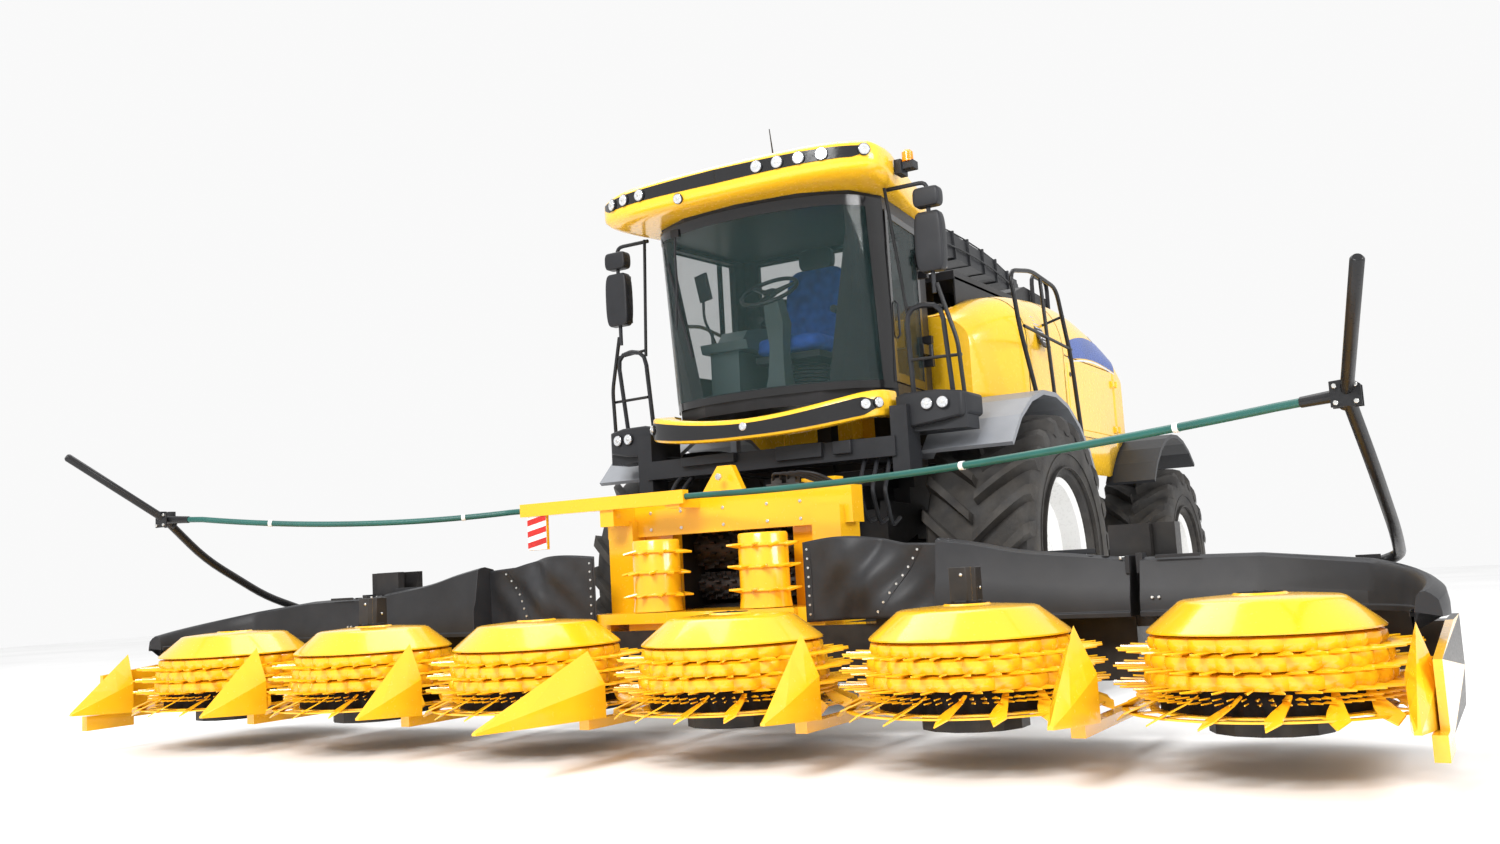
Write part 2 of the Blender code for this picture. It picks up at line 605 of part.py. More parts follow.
def make_feeder():
    """Duct from the mouth to the cutterhead, with the two feed rolls in its front and the lift pivot at its back."""
    front, back = MOUTH_REAR + GAP, PIVOT_Y - 0.32
    w = FEEDER_HALF
    outer = loft("feeder_housing", [rect(-w, w, 0.66, 1.24, front), rect(-w, w, 0.80, 1.42, back)], STEEL)
    v = w - FEEDER_WALL
    inner = loft("feeder_way", [rect(-v, v, 0.682, 1.218, front - 0.05), rect(-v, v, 0.822, 1.398, back + 0.05)], STEEL)
    cut(outer, [inner])
    arms = []
    for side in (1, -1):
        x = sorted((side * (RAIL_X + 0.12 + RUNNING), side * (RAIL_X + 0.17)))
        lug = [(back - 0.25, 0.95), (back - 0.25, 1.30), (PIVOT_Y, PIVOT_Z + 0.08), (PIVOT_Y + 0.07, PIVOT_Z + 0.05), (PIVOT_Y + 0.07, PIVOT_Z - 0.07), (PIVOT_Y, PIVOT_Z - 0.08)]
        arms.append(plate(f"lift_arm_{side}", lug, x[0], x[1], "YZ", STEEL))
        y = sorted((side * (w - 0.01), side * (RAIL_X + 0.16)))
        arms.append(box(f"arm_root_{side}", (y[0], back - 0.25, 1.0), (y[1], back - 0.10, 1.25), STEEL))
    joined(outer, arms)
    bore = rod("lift_bore", (-1, PIVOT_Y, PIVOT_Z), (1, PIVOT_Y, PIVOT_Z), LIFT_PIN_R + PIN_FIT, STEEL, 32)
    spindles = []
    for _, z, _ in ROLLS:
        spindles.append(rod(f"spindle_{z}", (-w + 0.01, ROLL_Y, z), (w - 0.01, ROLL_Y, z), 0.03, STEEL))
    cut(outer, [bore])
    joined(outer, spindles)
    for label, z, radius in ROLLS:
        profile = [(0.031, v - 0.02), (radius, v - 0.02), (radius, 0.02 - v), (0.031, 0.02 - v)]
        turned(f"feed_roll_{label}", profile, 20, STEEL, (0, ROLL_Y, z), "X")


def make_wings():
    y0, y1 = EAR_Y

    def inner(name):
        beam = box(name, (PITCH + END_GAP, BEAM_FRONT, BEAM_LOW), (2 * PITCH - END_GAP, BEAM_REAR, BEAM_HIGH), YELLOW)
        pieces = gearbox("inner", 1.5 * PITCH)
        rest = box("rest_bracket", (1.5 * PITCH - 0.047, at(-0.047), ROTOR_TOP - 0.03), (1.5 * PITCH + 0.047, at(0.047), 0.872), YELLOW)
        pieces += divider("inner_divider", 2 * PITCH - 0.035, 0.745, 0.08, 0.62) + [rest]
        near_in, near_out, near_bore = fold_joint(INNER_FOLD, PITCH - END_GAP, PITCH + END_GAP)
        far_in, far_out, far_bore = fold_joint(OUTER_FOLD, 2 * PITCH - END_GAP, 2 * PITCH + END_GAP)
        for spare in near_in + far_out + [far_bore]:
            bpy.data.objects.remove(spare, do_unlink=True)
        joined(beam, pieces + near_out + far_in)
        return cut(beam, [near_bore])

    def outer(name):
        beam = box(name, (2 * PITCH + END_GAP, BEAM_FRONT, BEAM_LOW), (2.9 * PITCH, BEAM_REAR, BEAM_HIGH), YELLOW)
        pieces = gearbox("outer", 2.5 * PITCH)
        pieces += divider("outer_divider", 2.5 * PITCH + 0.575, 0.745, 0.054, 0.60, rooted=False)
        x = 3 * PITCH
        side = [(at(-0.50), 0.20), (at(0.62), 0.20), (at(0.86), 0.34), (at(0.86), 0.56), (at(0.40), 0.56), (at(-0.50), 0.48)]
        pieces.append(plate("end_shield", side, x, x + 0.03, "YZ", YELLOW))
        pieces.append(box("shield_link", (2.8 * PITCH, BEAM_FRONT + 0.02, 0.36), (x + 0.02, BEAM_REAR - 0.05, 0.54), YELLOW))
        pieces.append(box("end_skid", (x - 0.02, at(-0.62), 0.15), (x + 0.03, at(-0.30), 0.24), YELLOW))
        far_in, far_out, far_bore = fold_joint(OUTER_FOLD, 2 * PITCH - END_GAP, 2 * PITCH + END_GAP)
        for spare in far_in:
            bpy.data.objects.remove(spare, do_unlink=True)
        foot = box("post_foot", (POST_FOOT.x - 0.05, at(0.82), BEAM_HIGH - 0.02), (POST_FOOT.x + 0.05, at(0.86), POST_FOOT.z + 0.05), YELLOW)
        pin = rod("post_pin", (POST_FOOT.x, at(0.83), POST_FOOT.z), (POST_FOOT.x, at(0.94), POST_FOOT.z), HINGE_R, YELLOW)
        joined(beam, pieces + far_out + [foot, pin])
        return cut(beam, [far_bore])

    both_sides(inner, "inner_wing")
    both_sides(outer, "outer_wing")


POST_FOOT = Vector((3.45, 0, 0.78))
POST_CLAMP = Vector((3.54, at(-0.20), 1.45))
POST_TIP = Vector((3.68, at(-0.79), 1.85))
POST_R = 0.026
COVER_LOW = BEAM_HIGH + GAP
COVER_X0 = 1.52  # inner cover's end towards the mouth


def cover_section(x, y_front, y_back, crown, lip):
    """Across the moulded cover: upright lip at the front, sloping top, upright back."""
    return [
        (x, y_front, COVER_LOW),
        (x, y_front, lip),
        (x, y_front + 0.05, crown),
        (x, y_back - 0.02, crown - 0.02),
        (x, y_back, crown - 0.08),
        (x, y_back, COVER_LOW),
    ]


def make_covers():
    """Moulded covers over the back of the rotors. They rest on the beam, clear of the fold lugs."""
    front, lugs, seat = at(0.47), at(0.655), at(0.72)

    def inner(name):
        rows = ((COVER_X0, seat, 1.02, 0.80), (1.95, seat, 0.93, 0.76), (2.28, lugs, 0.89, 0.73), (2.475, lugs, 0.87, 0.72))
        return loft(name, [cover_section(x, front, back, crown, lip) for x, back, crown, lip in rows], BLACK)

    def outer(name):
        rows = ((2.525, lugs, 0.87, 0.72), (2.75, lugs, 0.865, 0.71), (3.05, seat, 0.86, 0.70))
        sections = [cover_section(x, front, back, crown, lip) for x, back, crown, lip in rows]
        centre = Vector((2.5 * PITCH, ROTOR_Y, 0))
        near, far = 0.56, 0.672
        for degrees in (52, 30, 8, -14):
            angle = math.radians(degrees)
            drop = 0.0016 * (52 - degrees)
            outline = ((near, COVER_LOW), (near, 0.70), (near + 0.04, 0.82 - drop), (far - 0.02, 0.80 - drop), (far, 0.76 - drop), (far, COVER_LOW))
            sections.append([(centre.x + radius * math.cos(angle), centre.y + radius * math.sin(angle), z) for radius, z in outline])
        return loft(name, sections, BLACK)

    both_sides(inner, "inner_cover")
    both_sides(outer, "outer_cover")

    def canvas(name):
        """Soft sheet from the mouth frame to the inner cover, across the fold line."""
        edge = COVER_X0 - GAP
        outline = [(0.72, 0.62), (edge, 0.62), (edge, 1.00), (1.20, 1.02), (0.72, 1.04)]
        return plate(name, outline, BEAM_FRONT - 0.015 - GAP, BEAM_FRONT - GAP, "XZ", CANVAS)

    both_sides(canvas, "canvas")


def make_guides():
    def post(name):
        """Bowed post on the outer wing, with the clamp and the raised tip."""
        y = at(0.90)
        x, z = POST_FOOT.x, POST_FOOT.z
        bow = tube(name, [(x, y, z), (x + 0.13, y, z + 0.04), (x + 0.14, y - 0.30, z + 0.14), (x + 0.12, at(0.10), 1.20), POST_CLAMP], POST_R, BLACK, 3, 0.1)
        eye = rod("post_eye", (x, at(0.86) + RUNNING, z), (x, at(0.935), z), 0.05, BLACK)
        bore = rod("post_bore", (x, at(0.5), z), (x, at(1.2), z), HINGE_R + PIN_FIT, BLACK)
        tip = tube("post_tip", [POST_CLAMP, POST_CLAMP + (POST_TIP - POST_CLAMP) * 0.5, POST_TIP], POST_R * 0.9, BLACK)
        stub = tube("post_stub", [POST_CLAMP, POST_CLAMP + Vector((-0.17, 0.05, -0.01))], POST_R * 0.9, BLACK)
        clamp = box("post_clamp", [c - 0.05 for c in POST_CLAMP], [c + 0.05 for c in POST_CLAMP], BLACK)
        joined(bow, [eye, tip, stub, clamp])
        return cut(bow, [bore])

    both_sides(post, "guide_post")
    stub = Vector((-0.17, 0.05, -0.01))
    run = 0.10
    for side, label, x in ((1, "left", -0.12), (-1, "right", -1.35)):
        away = Vector((side * stub.x, stub.y, stub.z)).normalized()
        begin = Vector((side * (POST_CLAMP.x + stub.x), POST_CLAMP.y + stub.y, POST_CLAMP.z + stub.z)) + away * GAP
        finish = Vector((x + side * GAP, at(0.77), 1.36))
        first, last = begin + away * run, finish + Vector((side * run, 0, 0))
        points = [begin]
        for step in range(9):
            t = step / 8
            spot = first.lerp(last, t)
            spot.z -= HOSE_SAG * 4 * t * (1 - t)
            points.append(spot)
        tube(f"guide_hose_{label}", points + [finish], 0.018, GREEN)


HOSE_SAG = 0.05

# ---------------------------------------------------------------- cab


def cab_plan(grow, z):
    """Half outline of the cab at a height, from the windscreen's middle round to the rear wall."""
    lean = 0.11 * (z - 2.6)  # the windscreen's top stands forward
    return [
        (0.0, CAB_FRONT - lean - 0.04 - grow),
        (0.42, CAB_FRONT - lean + 0.01 - grow),
        (0.70 + grow, CAB_FRONT - lean + 0.16 - grow * 0.7),
        (CAB_HALF + grow, CAB_FRONT + 0.38 - lean * 0.5),
        (CAB_REAR_HALF + grow, CAB_REAR + grow),
        (0.0, CAB_REAR + grow),
    ]


def cab_ring(grow, z):
    half = cab_plan(grow, z)
    left = [(x, y, z) for x, y in half]
    right = [(-x, y, z) for x, y in reversed(half[1:-1])]
    return left + right


def make_cab():
    floor_top = CAB_FLOOR + 0.05
    shell = loft("cab_frame", [cab_ring(0, CAB_FLOOR - 0.02), cab_ring(0, 2.6), cab_ring(0, CAB_TOP)], BLACK)
    space = loft("cab_space", [cab_ring(-CAB_WALL, floor_top), cab_ring(-CAB_WALL, 2.6), cab_ring(-CAB_WALL, CAB_TOP - 0.05)], BLACK)
    sill, head = 2.04, 3.12
    openings = [
        box("front_window", (-0.66, CAB_FRONT - 0.5, sill), (0.66, CAB_FRONT + 0.14, head), BLACK),
        box("right_window", (-1.2, CAB_FRONT + 0.32, 2.25), (-0.5, CAB_REAR - 0.16, head), BLACK),
        box("door_way", (0.5, DOOR_FRONT, DOOR_LOW), (1.2, DOOR_REAR, DOOR_HIGH), BLACK),
        box("rear_window", (-0.56, CAB_REAR - 0.2, 2.35), (0.56, CAB_REAR + 0.2, head), BLACK),
    ]
    cut(shell, [space] + openings)

    levels = (CAB_FLOOR - 0.02, 2.6, CAB_TOP)
    glass = loft("cab_glazing", [cab_ring(GAP + GLASS, z) for z in levels], TINTED)
    hollow = loft("glazing_space", [cab_ring(GAP, z) for z in levels], TINTED)
    trims = [
        box("glazing_foot", (-1.3, CAB_FRONT - 0.6, 1.5), (1.3, CAB_REAR + 0.3, sill - 0.06), TINTED),
        box("glazing_head", (-1.3, CAB_FRONT - 0.6, head + 0.05), (1.3, CAB_REAR + 0.3, 3.6), TINTED),
        box("glazing_door_side", (0.45, DOOR_FRONT - RUNNING, 1.9), (1.3, CAB_REAR + 0.3, 3.4), TINTED),
    ]
    cut(glass, [hollow] + trims)


DOOR_FRONT, DOOR_REAR = CAB_FRONT + 0.36, CAB_REAR - 0.16
DOOR_LOW, DOOR_HIGH = 2.02, 3.12


def door_face_x(y, z):
    """Where the cab's left side lies at a height."""
    front_y = CAB_FRONT + 0.38 - 0.055 * (z - 2.6)
    share = (y - front_y) / (CAB_REAR - front_y)
    return CAB_HALF + (CAB_REAR_HALF - CAB_HALF) * share


def make_door():
    """Left door, hinged at its rear edge on two hinge tubes outside the cab's side."""
    sections = []
    for z in (DOOR_LOW + RUNNING, 2.6, DOOR_HIGH - RUNNING):
        ring = []
        for y, depth in ((DOOR_FRONT + RUNNING, 0), (DOOR_REAR - RUNNING, 0), (DOOR_REAR - RUNNING, 1), (DOOR_FRONT + RUNNING, 1)):
            ring.append((door_face_x(y, z) + 0.012 - 0.04 * depth, y, z))
        sections.append(ring)
    door = loft("cab_door", sections, TINTED)
    hinges = []
    x = HINGE_X
    for z in (2.25, 2.85):
        hinges.append(rod(f"door_knuckle_{z}", (x, DOOR_HINGE_Y, z), (x, DOOR_HINGE_Y, z + 0.09), 0.022, TINTED))
        hinges.append(box(f"door_strap_{z}", (door_face_x(DOOR_REAR, z) + 0.005, DOOR_REAR - 0.10, z + 0.01), (x + 0.008, DOOR_HINGE_Y, z + 0.08), TINTED))
    joined(door, hinges)
    pins = []
    for z in (2.25, 2.85):
        pins.append(rod(f"door_pin_{z}", (x, DOOR_HINGE_Y, z - 0.06), (x, DOOR_HINGE_Y, z + 0.13), 0.010, BLACK, 12))
        for low in (z - 0.06, z + 0.09 + RUNNING):
            pins.append(box(f"door_eye_{low:.2f}", (CAB_REAR_HALF - 0.02, DOOR_HINGE_Y - 0.018, low), (x + 0.018, DOOR_HINGE_Y + 0.018, low + 0.05), BLACK))
    joined(bpy.data.objects["cab_frame"], pins)
    bores = [rod(f"door_bore_{z}", (x, DOOR_HINGE_Y, z - 0.1), (x, DOOR_HINGE_Y, z + 0.2), 0.0107, TINTED, 12) for z in (2.25, 2.85)]
    cut(door, bores)


DOOR_HINGE_Y = DOOR_REAR + 0.035
HINGE_X = CAB_REAR_HALF + 0.055


def make_roof():
    """Yellow roof: a wide band of lights at the front, narrowing over the cab."""

    def ring(half, y_front, y_back, z0):
        return [(0, y_front - 0.05, z0), (half * 0.62, y_front, z0), (half, y_front + 0.14, z0), (half, y_front + 0.42, z0), (0.80, y_back - 0.2, z0), (0.72, y_back, z0), (0, y_back, z0),
                (-0.72, y_back, z0), (-0.80, y_back - 0.2, z0), (-half, y_front + 0.42, z0), (-half, y_front + 0.14, z0), (-half * 0.62, y_front, z0)]

    front, back = at(1.14), CAB_REAR + 0.08
    low = CAB_TOP + GAP
    loft("cab_roof", [ring(0.90, front + 0.10, back - 0.03, low), ring(ROOF_HALF, front, back, low + 0.06), ring(ROOF_HALF, front - 0.01, back, low + 0.17), ring(ROOF_HALF - 0.16, front + 0.14, back - 0.12, ROOF_TOP)], YELLOW)


def make_cab_inside():
    """Seat, side console and steering column on one floor mat."""
    z = CAB_FLOOR + 0.05 + GAP
    middle = (CAB_FRONT + CAB_REAR) / 2
    mat = box("cab_interior", (-0.55, CAB_FRONT + 0.20, z), (0.55, CAB_REAR - 0.08, z + 0.02), BLUE)
    seat_y = CAB_REAR - 0.62
    pieces = [
        box("seat_base", (-0.22, seat_y - 0.02, z + 0.01), (0.22, seat_y + 0.36, z + 0.34), BLUE),
        box("seat_pad", (-0.26, seat_y - 0.12, z + 0.32), (0.26, seat_y + 0.40, z + 0.46), BLUE),
        box("seat_back", (-0.25, seat_y + 0.34, z + 0.40), (0.25, seat_y + 0.48, z + 0.98), BLUE),
        box("head_rest", (-0.14, seat_y + 0.36, z + 0.96), (0.14, seat_y + 0.46, z + 1.14), BLUE),
        box("console", (-0.52, middle - 0.10, z + 0.01), (-0.30, CAB_REAR - 0.12, z + 0.62), BLUE),
        box("column", (-0.07, CAB_FRONT + 0.26, z + 0.01), (0.07, CAB_FRONT + 0.40, z + 0.50), BLUE),
        rod("column_head", (0, CAB_FRONT + 0.33, z + 0.46), (0, seat_y - 0.28, z + 0.70), 0.05, BLUE, 12),
        turned("wheel_rim", [(0.20 + 0.016 * math.cos(a * math.tau / 6), 0.016 * math.sin(a * math.tau / 6)) for a in range(0, -6, -1)], 14, BLUE),
        box("wheel_spoke", (-0.20, -0.02, -0.01), (0.20, 0.02, 0.01), BLUE),
    ]
    tilt = Matrix.Translation((0, seat_y - 0.27, z + 0.71)) @ Matrix.Rotation(math.radians(35), 4, "X")
    for piece in pieces[-2:]:
        piece.data.transform(tilt)
    joined(mat, pieces)


def make_front_trim():
    """Yellow band under the windscreen, and the black platform that crosses under the cab."""

    def bow(half, lead, z):
        return [(-half, CAB_FRONT + 0.24, z), (-half * 0.86, CAB_FRONT + 0.06 - lead, z), (-half * 0.5, CAB_FRONT - 0.06 - lead, z), (half * 0.5, CAB_FRONT - 0.06 - lead, z),
                (half * 0.86, CAB_FRONT + 0.06 - lead, z), (half, CAB_FRONT + 0.24, z), (half * 0.92, CAB_FRONT + 0.42, z), (-half * 0.92, CAB_FRONT + 0.42, z)]

    top = CAB_FLOOR - 0.02 - GAP
    loft("bumper", [bow(0.80, 0.0, UNDER_CAB + GAP), bow(0.86, 0.08, UNDER_CAB + 0.07), bow(0.86, 0.08, top - 0.04), bow(0.83, 0.04, top)], YELLOW)



# ---------------------------------------------------------------- body behind the cab


def body_top(y):
    """Height of the yellow side's upper edge: it rises behind the cab and falls to the rear."""
    rise = [(BODY_FRONT, 2.56), (at(3.1), 2.72), (at(4.3), 2.84), (at(5.0), 2.72), (BODY_REAR, 2.50)]
    for (y0, z0), (y1, z1) in zip(rise, rise[1:]):
        if y <= y1:
            return z0 + (z1 - z0) * max(0, (y - y0) / (y1 - y0))
    return rise[-1][1]


FRONT_GUARD, REAR_GUARD, GUARD = 1.02, 1.04, 0.03  # mudguards' inner radii and thickness
BODY_FRONT = CAB_REAR + 0.06
DOOR_Y0, DOOR_Y1 = at(3.95), BODY_REAR - 0.28  # service doors in the sides
DOOR_Z0 = BODY_LOW + 0.28
DOOR_Z1 = body_top(DOOR_Y1) - 0.24
SERVICE_HINGE_X = BODY_HALF + 0.023
SERVICE_HINGES = (DOOR_Z0 + 0.08, DOOR_Z1 - 0.14)


def body_ring(y, inset):
    """Across the body at y: upright sides that lean in above, with a flat open-width top."""
    top = body_top(y) - inset
    low = BODY_LOW + (0.0 if inset == 0 else -0.1)
    flare = 0.24 * max(0.0, 1 - (y - BODY_FRONT) / 0.5)  # narrower just behind the cab
    side, crown = BODY_HALF - flare - inset, BODY_HALF - flare - 0.26 - inset
    half = [(side, low), (side, top - 0.18), (side - 0.09, top - 0.04), (crown, top)]
    return [(x, y, z) for x, z in half] + [(-x, y, z) for x, z in reversed(half)]


def make_body():
    """Yellow shell: sides, shoulders and rear, open below and along the top where the deck lies."""
    stations = [BODY_FRONT, BODY_FRONT + 0.25, BODY_FRONT + 0.5, at(3.9), at(4.3), at(5.0), BODY_REAR]
    shell = loft("body_shell", [body_ring(y, 0) for y in stations], YELLOW)
    hollow_stations = [BODY_FRONT - 0.2] + stations[1:-1] + [BODY_REAR - SHEET]
    hollow = loft("body_space", [body_ring(y, SHEET) for y in hollow_stations], YELLOW)
    top_way = box("deck_way", (-DECK_HALF - GAP, BODY_FRONT + 0.26, 2.2), (DECK_HALF + GAP, BODY_REAR - 0.25, 3.4), YELLOW)
    ways = [box(f"door_way_{side}", (min(side * 1.0, side * 1.4), DOOR_Y0, DOOR_Z0), (max(side * 1.0, side * 1.4), DOOR_Y1, DOOR_Z1), YELLOW) for side in (1, -1)]
    arches = [
        rod("front_arch", (-2, FRONT_Y, FRONT_R), (2, FRONT_Y, FRONT_R), FRONT_GUARD + GUARD + 0.010, YELLOW, 32),
        rod("rear_arch", (-2, REAR_Y, REAR_R), (2, REAR_Y, REAR_R), REAR_GUARD + GUARD + 0.010, YELLOW, 32),
    ]
    cut(shell, [hollow, top_way] + ways + arches)
    brackets = []
    for side in (1, -1):
        for z in SERVICE_HINGES:
            x = sorted((side * (BODY_HALF - 0.01), side * (SERVICE_HINGE_X + 0.016)))
            for low in (z - 0.05, z + 0.06 + RUNNING):
                brackets.append(box(f"body_eye_{side}_{low:.2f}", (x[0], DOOR_Y1 + 0.012, low), (x[1], DOOR_Y1 + 0.048, low + 0.04), YELLOW))
            brackets.append(rod(f"body_pin_{side}_{z:.2f}", (side * SERVICE_HINGE_X, DOOR_Y1 + 0.03, z - 0.04), (side * SERVICE_HINGE_X, DOOR_Y1 + 0.03, z + 0.10), 0.009, YELLOW, 12))
    joined(shell, brackets)

    def door(name):
        """Service door in the body's side, hinged at its rear edge."""
        r = RUNNING
        panel = box(name, (BODY_HALF - SHEET, DOOR_Y0 + r, DOOR_Z0 + r), (BODY_HALF, DOOR_Y1 - r, DOOR_Z1 - r), YELLOW)
        knuckles = []
        for z in SERVICE_HINGES:
            knuckles.append(box(f"service_pad_{z:.2f}", (BODY_HALF - 0.01, DOOR_Y1 - 0.06, z), (SERVICE_HINGE_X - 0.006, DOOR_Y1 - 0.01, z + 0.06), YELLOW))
            knuckles.append(box(f"service_knuckle_{z:.2f}", (SERVICE_HINGE_X - 0.012, DOOR_Y1 - 0.06, z), (SERVICE_HINGE_X + 0.012, DOOR_Y1 + 0.042, z + 0.06), YELLOW))
        bore = rod("service_bore", (SERVICE_HINGE_X, DOOR_Y1 + 0.03, 1.0), (SERVICE_HINGE_X, DOOR_Y1 + 0.03, 3.0), 0.0097, YELLOW, 12)
        joined(panel, knuckles)
        return cut(panel, [bore])

    both_sides(door, "service_door")


DECK_HALF = 0.80


def make_deck():
    """Black deck over the engine, with the raised air-intake hood at its rear."""
    deck = box("engine_deck", (-DECK_HALF, BODY_FRONT + 0.27, DECK_Z), (DECK_HALF, BODY_REAR - 0.27, DECK_Z + 0.06), BLACK)
    hood = loft("intake_hood", [rect(-0.74, 0.74, DECK_Z + 0.05, DECK_Z + 0.14, at(4.35)), rect(-0.74, 0.74, DECK_Z + 0.05, DECK_Z + 0.22, at(4.6)), rect(-0.74, 0.74, DECK_Z + 0.05, DECK_Z + 0.20, BODY_REAR - 0.32)], BLACK)
    ring = rod("turret_seat", (0, SPOUT_Y, DECK_Z + 0.05), (0, SPOUT_Y, DECK_Z + 0.12), 0.26, BLACK, 24)
    rails = []
    for side in (1, -1):
        x = side * (DECK_HALF - 0.04)
        rails.append(tube(f"deck_rail_{side}", [(x, at(4.75), DECK_Z + 0.04), (x, at(4.75), 3.20), (x, BODY_REAR - 0.36, 3.20), (x, BODY_REAR - 0.36, DECK_Z + 0.04)], 0.018, BLACK, 3, 0.08))
    joined(deck, [hood, ring] + rails)


def arch(name, x0, x1, y, z, inner, thick, start, end, material):
    """Mudguard: part of a ring round a wheel's axle, from x0 to x1."""
    outline = []
    for radius, order in ((inner + thick, range(9)), (inner, range(8, -1, -1))):
        for step in order:
            angle = math.radians(start + (end - start) * step / 8)
            outline.append((y + radius * math.cos(angle), z + radius * math.sin(angle)))
    return plate(name, outline, x0, x1, "YZ", material)


def make_fenders():
    def front(name):
        guard = arch(name, 0.94, 1.52, FRONT_Y, FRONT_R, FRONT_GUARD, GUARD, 28, 140, GREY)
        near, far = RAIL_X + RAIL_WIDE + GAP, FRONT_TRACK - FRONT_WIDTH / 2 - 0.03
        stays = [
            box("guard_arm", (near, FRONT_Y - 0.03, UNDER_CAB - 0.10), (far, FRONT_Y + 0.03, UNDER_CAB - 0.04), GREY),
            box("guard_riser", (far - 0.05, FRONT_Y - 0.03, UNDER_CAB - 0.10), (far, FRONT_Y + 0.03, FRONT_R + FRONT_GUARD + 0.02), GREY),
            box("guard_seat", (far - 0.05, FRONT_Y - 0.03, FRONT_R + FRONT_GUARD - 0.03), (0.96, FRONT_Y + 0.03, FRONT_R + FRONT_GUARD + 0.02), GREY),
        ]
        return joined(guard, stays)

    both_sides(front, "front_fender")

    def rear(name):
        guard = arch(name, BODY_HALF - SHEET - 0.02, 1.56, REAR_Y, REAR_R, REAR_GUARD, GUARD, 52, 142, BLACK)
        flange = box("guard_flange", (BODY_HALF - 0.10, REAR_Y - 0.50, 1.73), (BODY_HALF - SHEET - GAP, REAR_Y - 0.40, 1.92), BLACK)
        return joined(guard, [flange])

    both_sides(rear, "rear_fender")


def make_platforms():
    """Black walkways beside the cab, joined by the beam that crosses under it, with their rails."""
    low, high = PLATFORM_Z - 0.18, PLATFORM_Z
    front = at(1.60)
    cross = box("side_platforms", (-0.90, at(1.50), UNDER_CAB - 0.15), (0.90, at(1.75) - GAP, UNDER_CAB - 0.03), BLACK)
    pieces = []
    for side in (1, -1):
        inner, outer = CAB_HALF + 0.10, 1.30
        plan = [(side * inner, front), (side * outer, front + 0.06), (side * outer, at(1.86)), (side * inner, at(1.86))]
        pieces.append(plate(f"platform_{side}", plan, low, high, "XY", BLACK))
        pieces.append(box(f"platform_root_{side}", (min(side * 0.87, side * 0.98), at(1.52), UNDER_CAB - 0.26), (max(side * 0.87, side * 0.98), at(1.70), high - 0.02), BLACK))
        x = side * 1.20
        rail = [(x, at(1.74), high - 0.02), (x, at(1.64), 2.44), (side * 0.97, at(1.64), 2.44), (side * 0.96, at(1.70), high - 0.02)]
        pieces.append(tube(f"rail_{side}", rail, 0.016, BLACK, 3, 0.12))
    joined(cross, pieces)


def make_mirrors():
    x, y = 1.163, at(1.64)
    for side, label in ((1, "left"), (-1, "right")):
        stem = tube(f"mirror_{label}", [(side * 0.86, y, CAB_TOP - 0.012), (side * x, y, CAB_TOP - 0.012), (side * x, y, 2.50)], 0.014, BLACK, 3, 0.05)
        heads = [box(f"big_{side}", (side * x - 0.09, y - 0.05, 2.63), (side * x + 0.09, y + 0.05, 3.00), BLACK, 0.02), box(f"small_{side}", (side * x - 0.085, y - 0.05, 3.03), (side * x + 0.085, y + 0.05, 3.15), BLACK, 0.02)]
        joined(stem, heads)


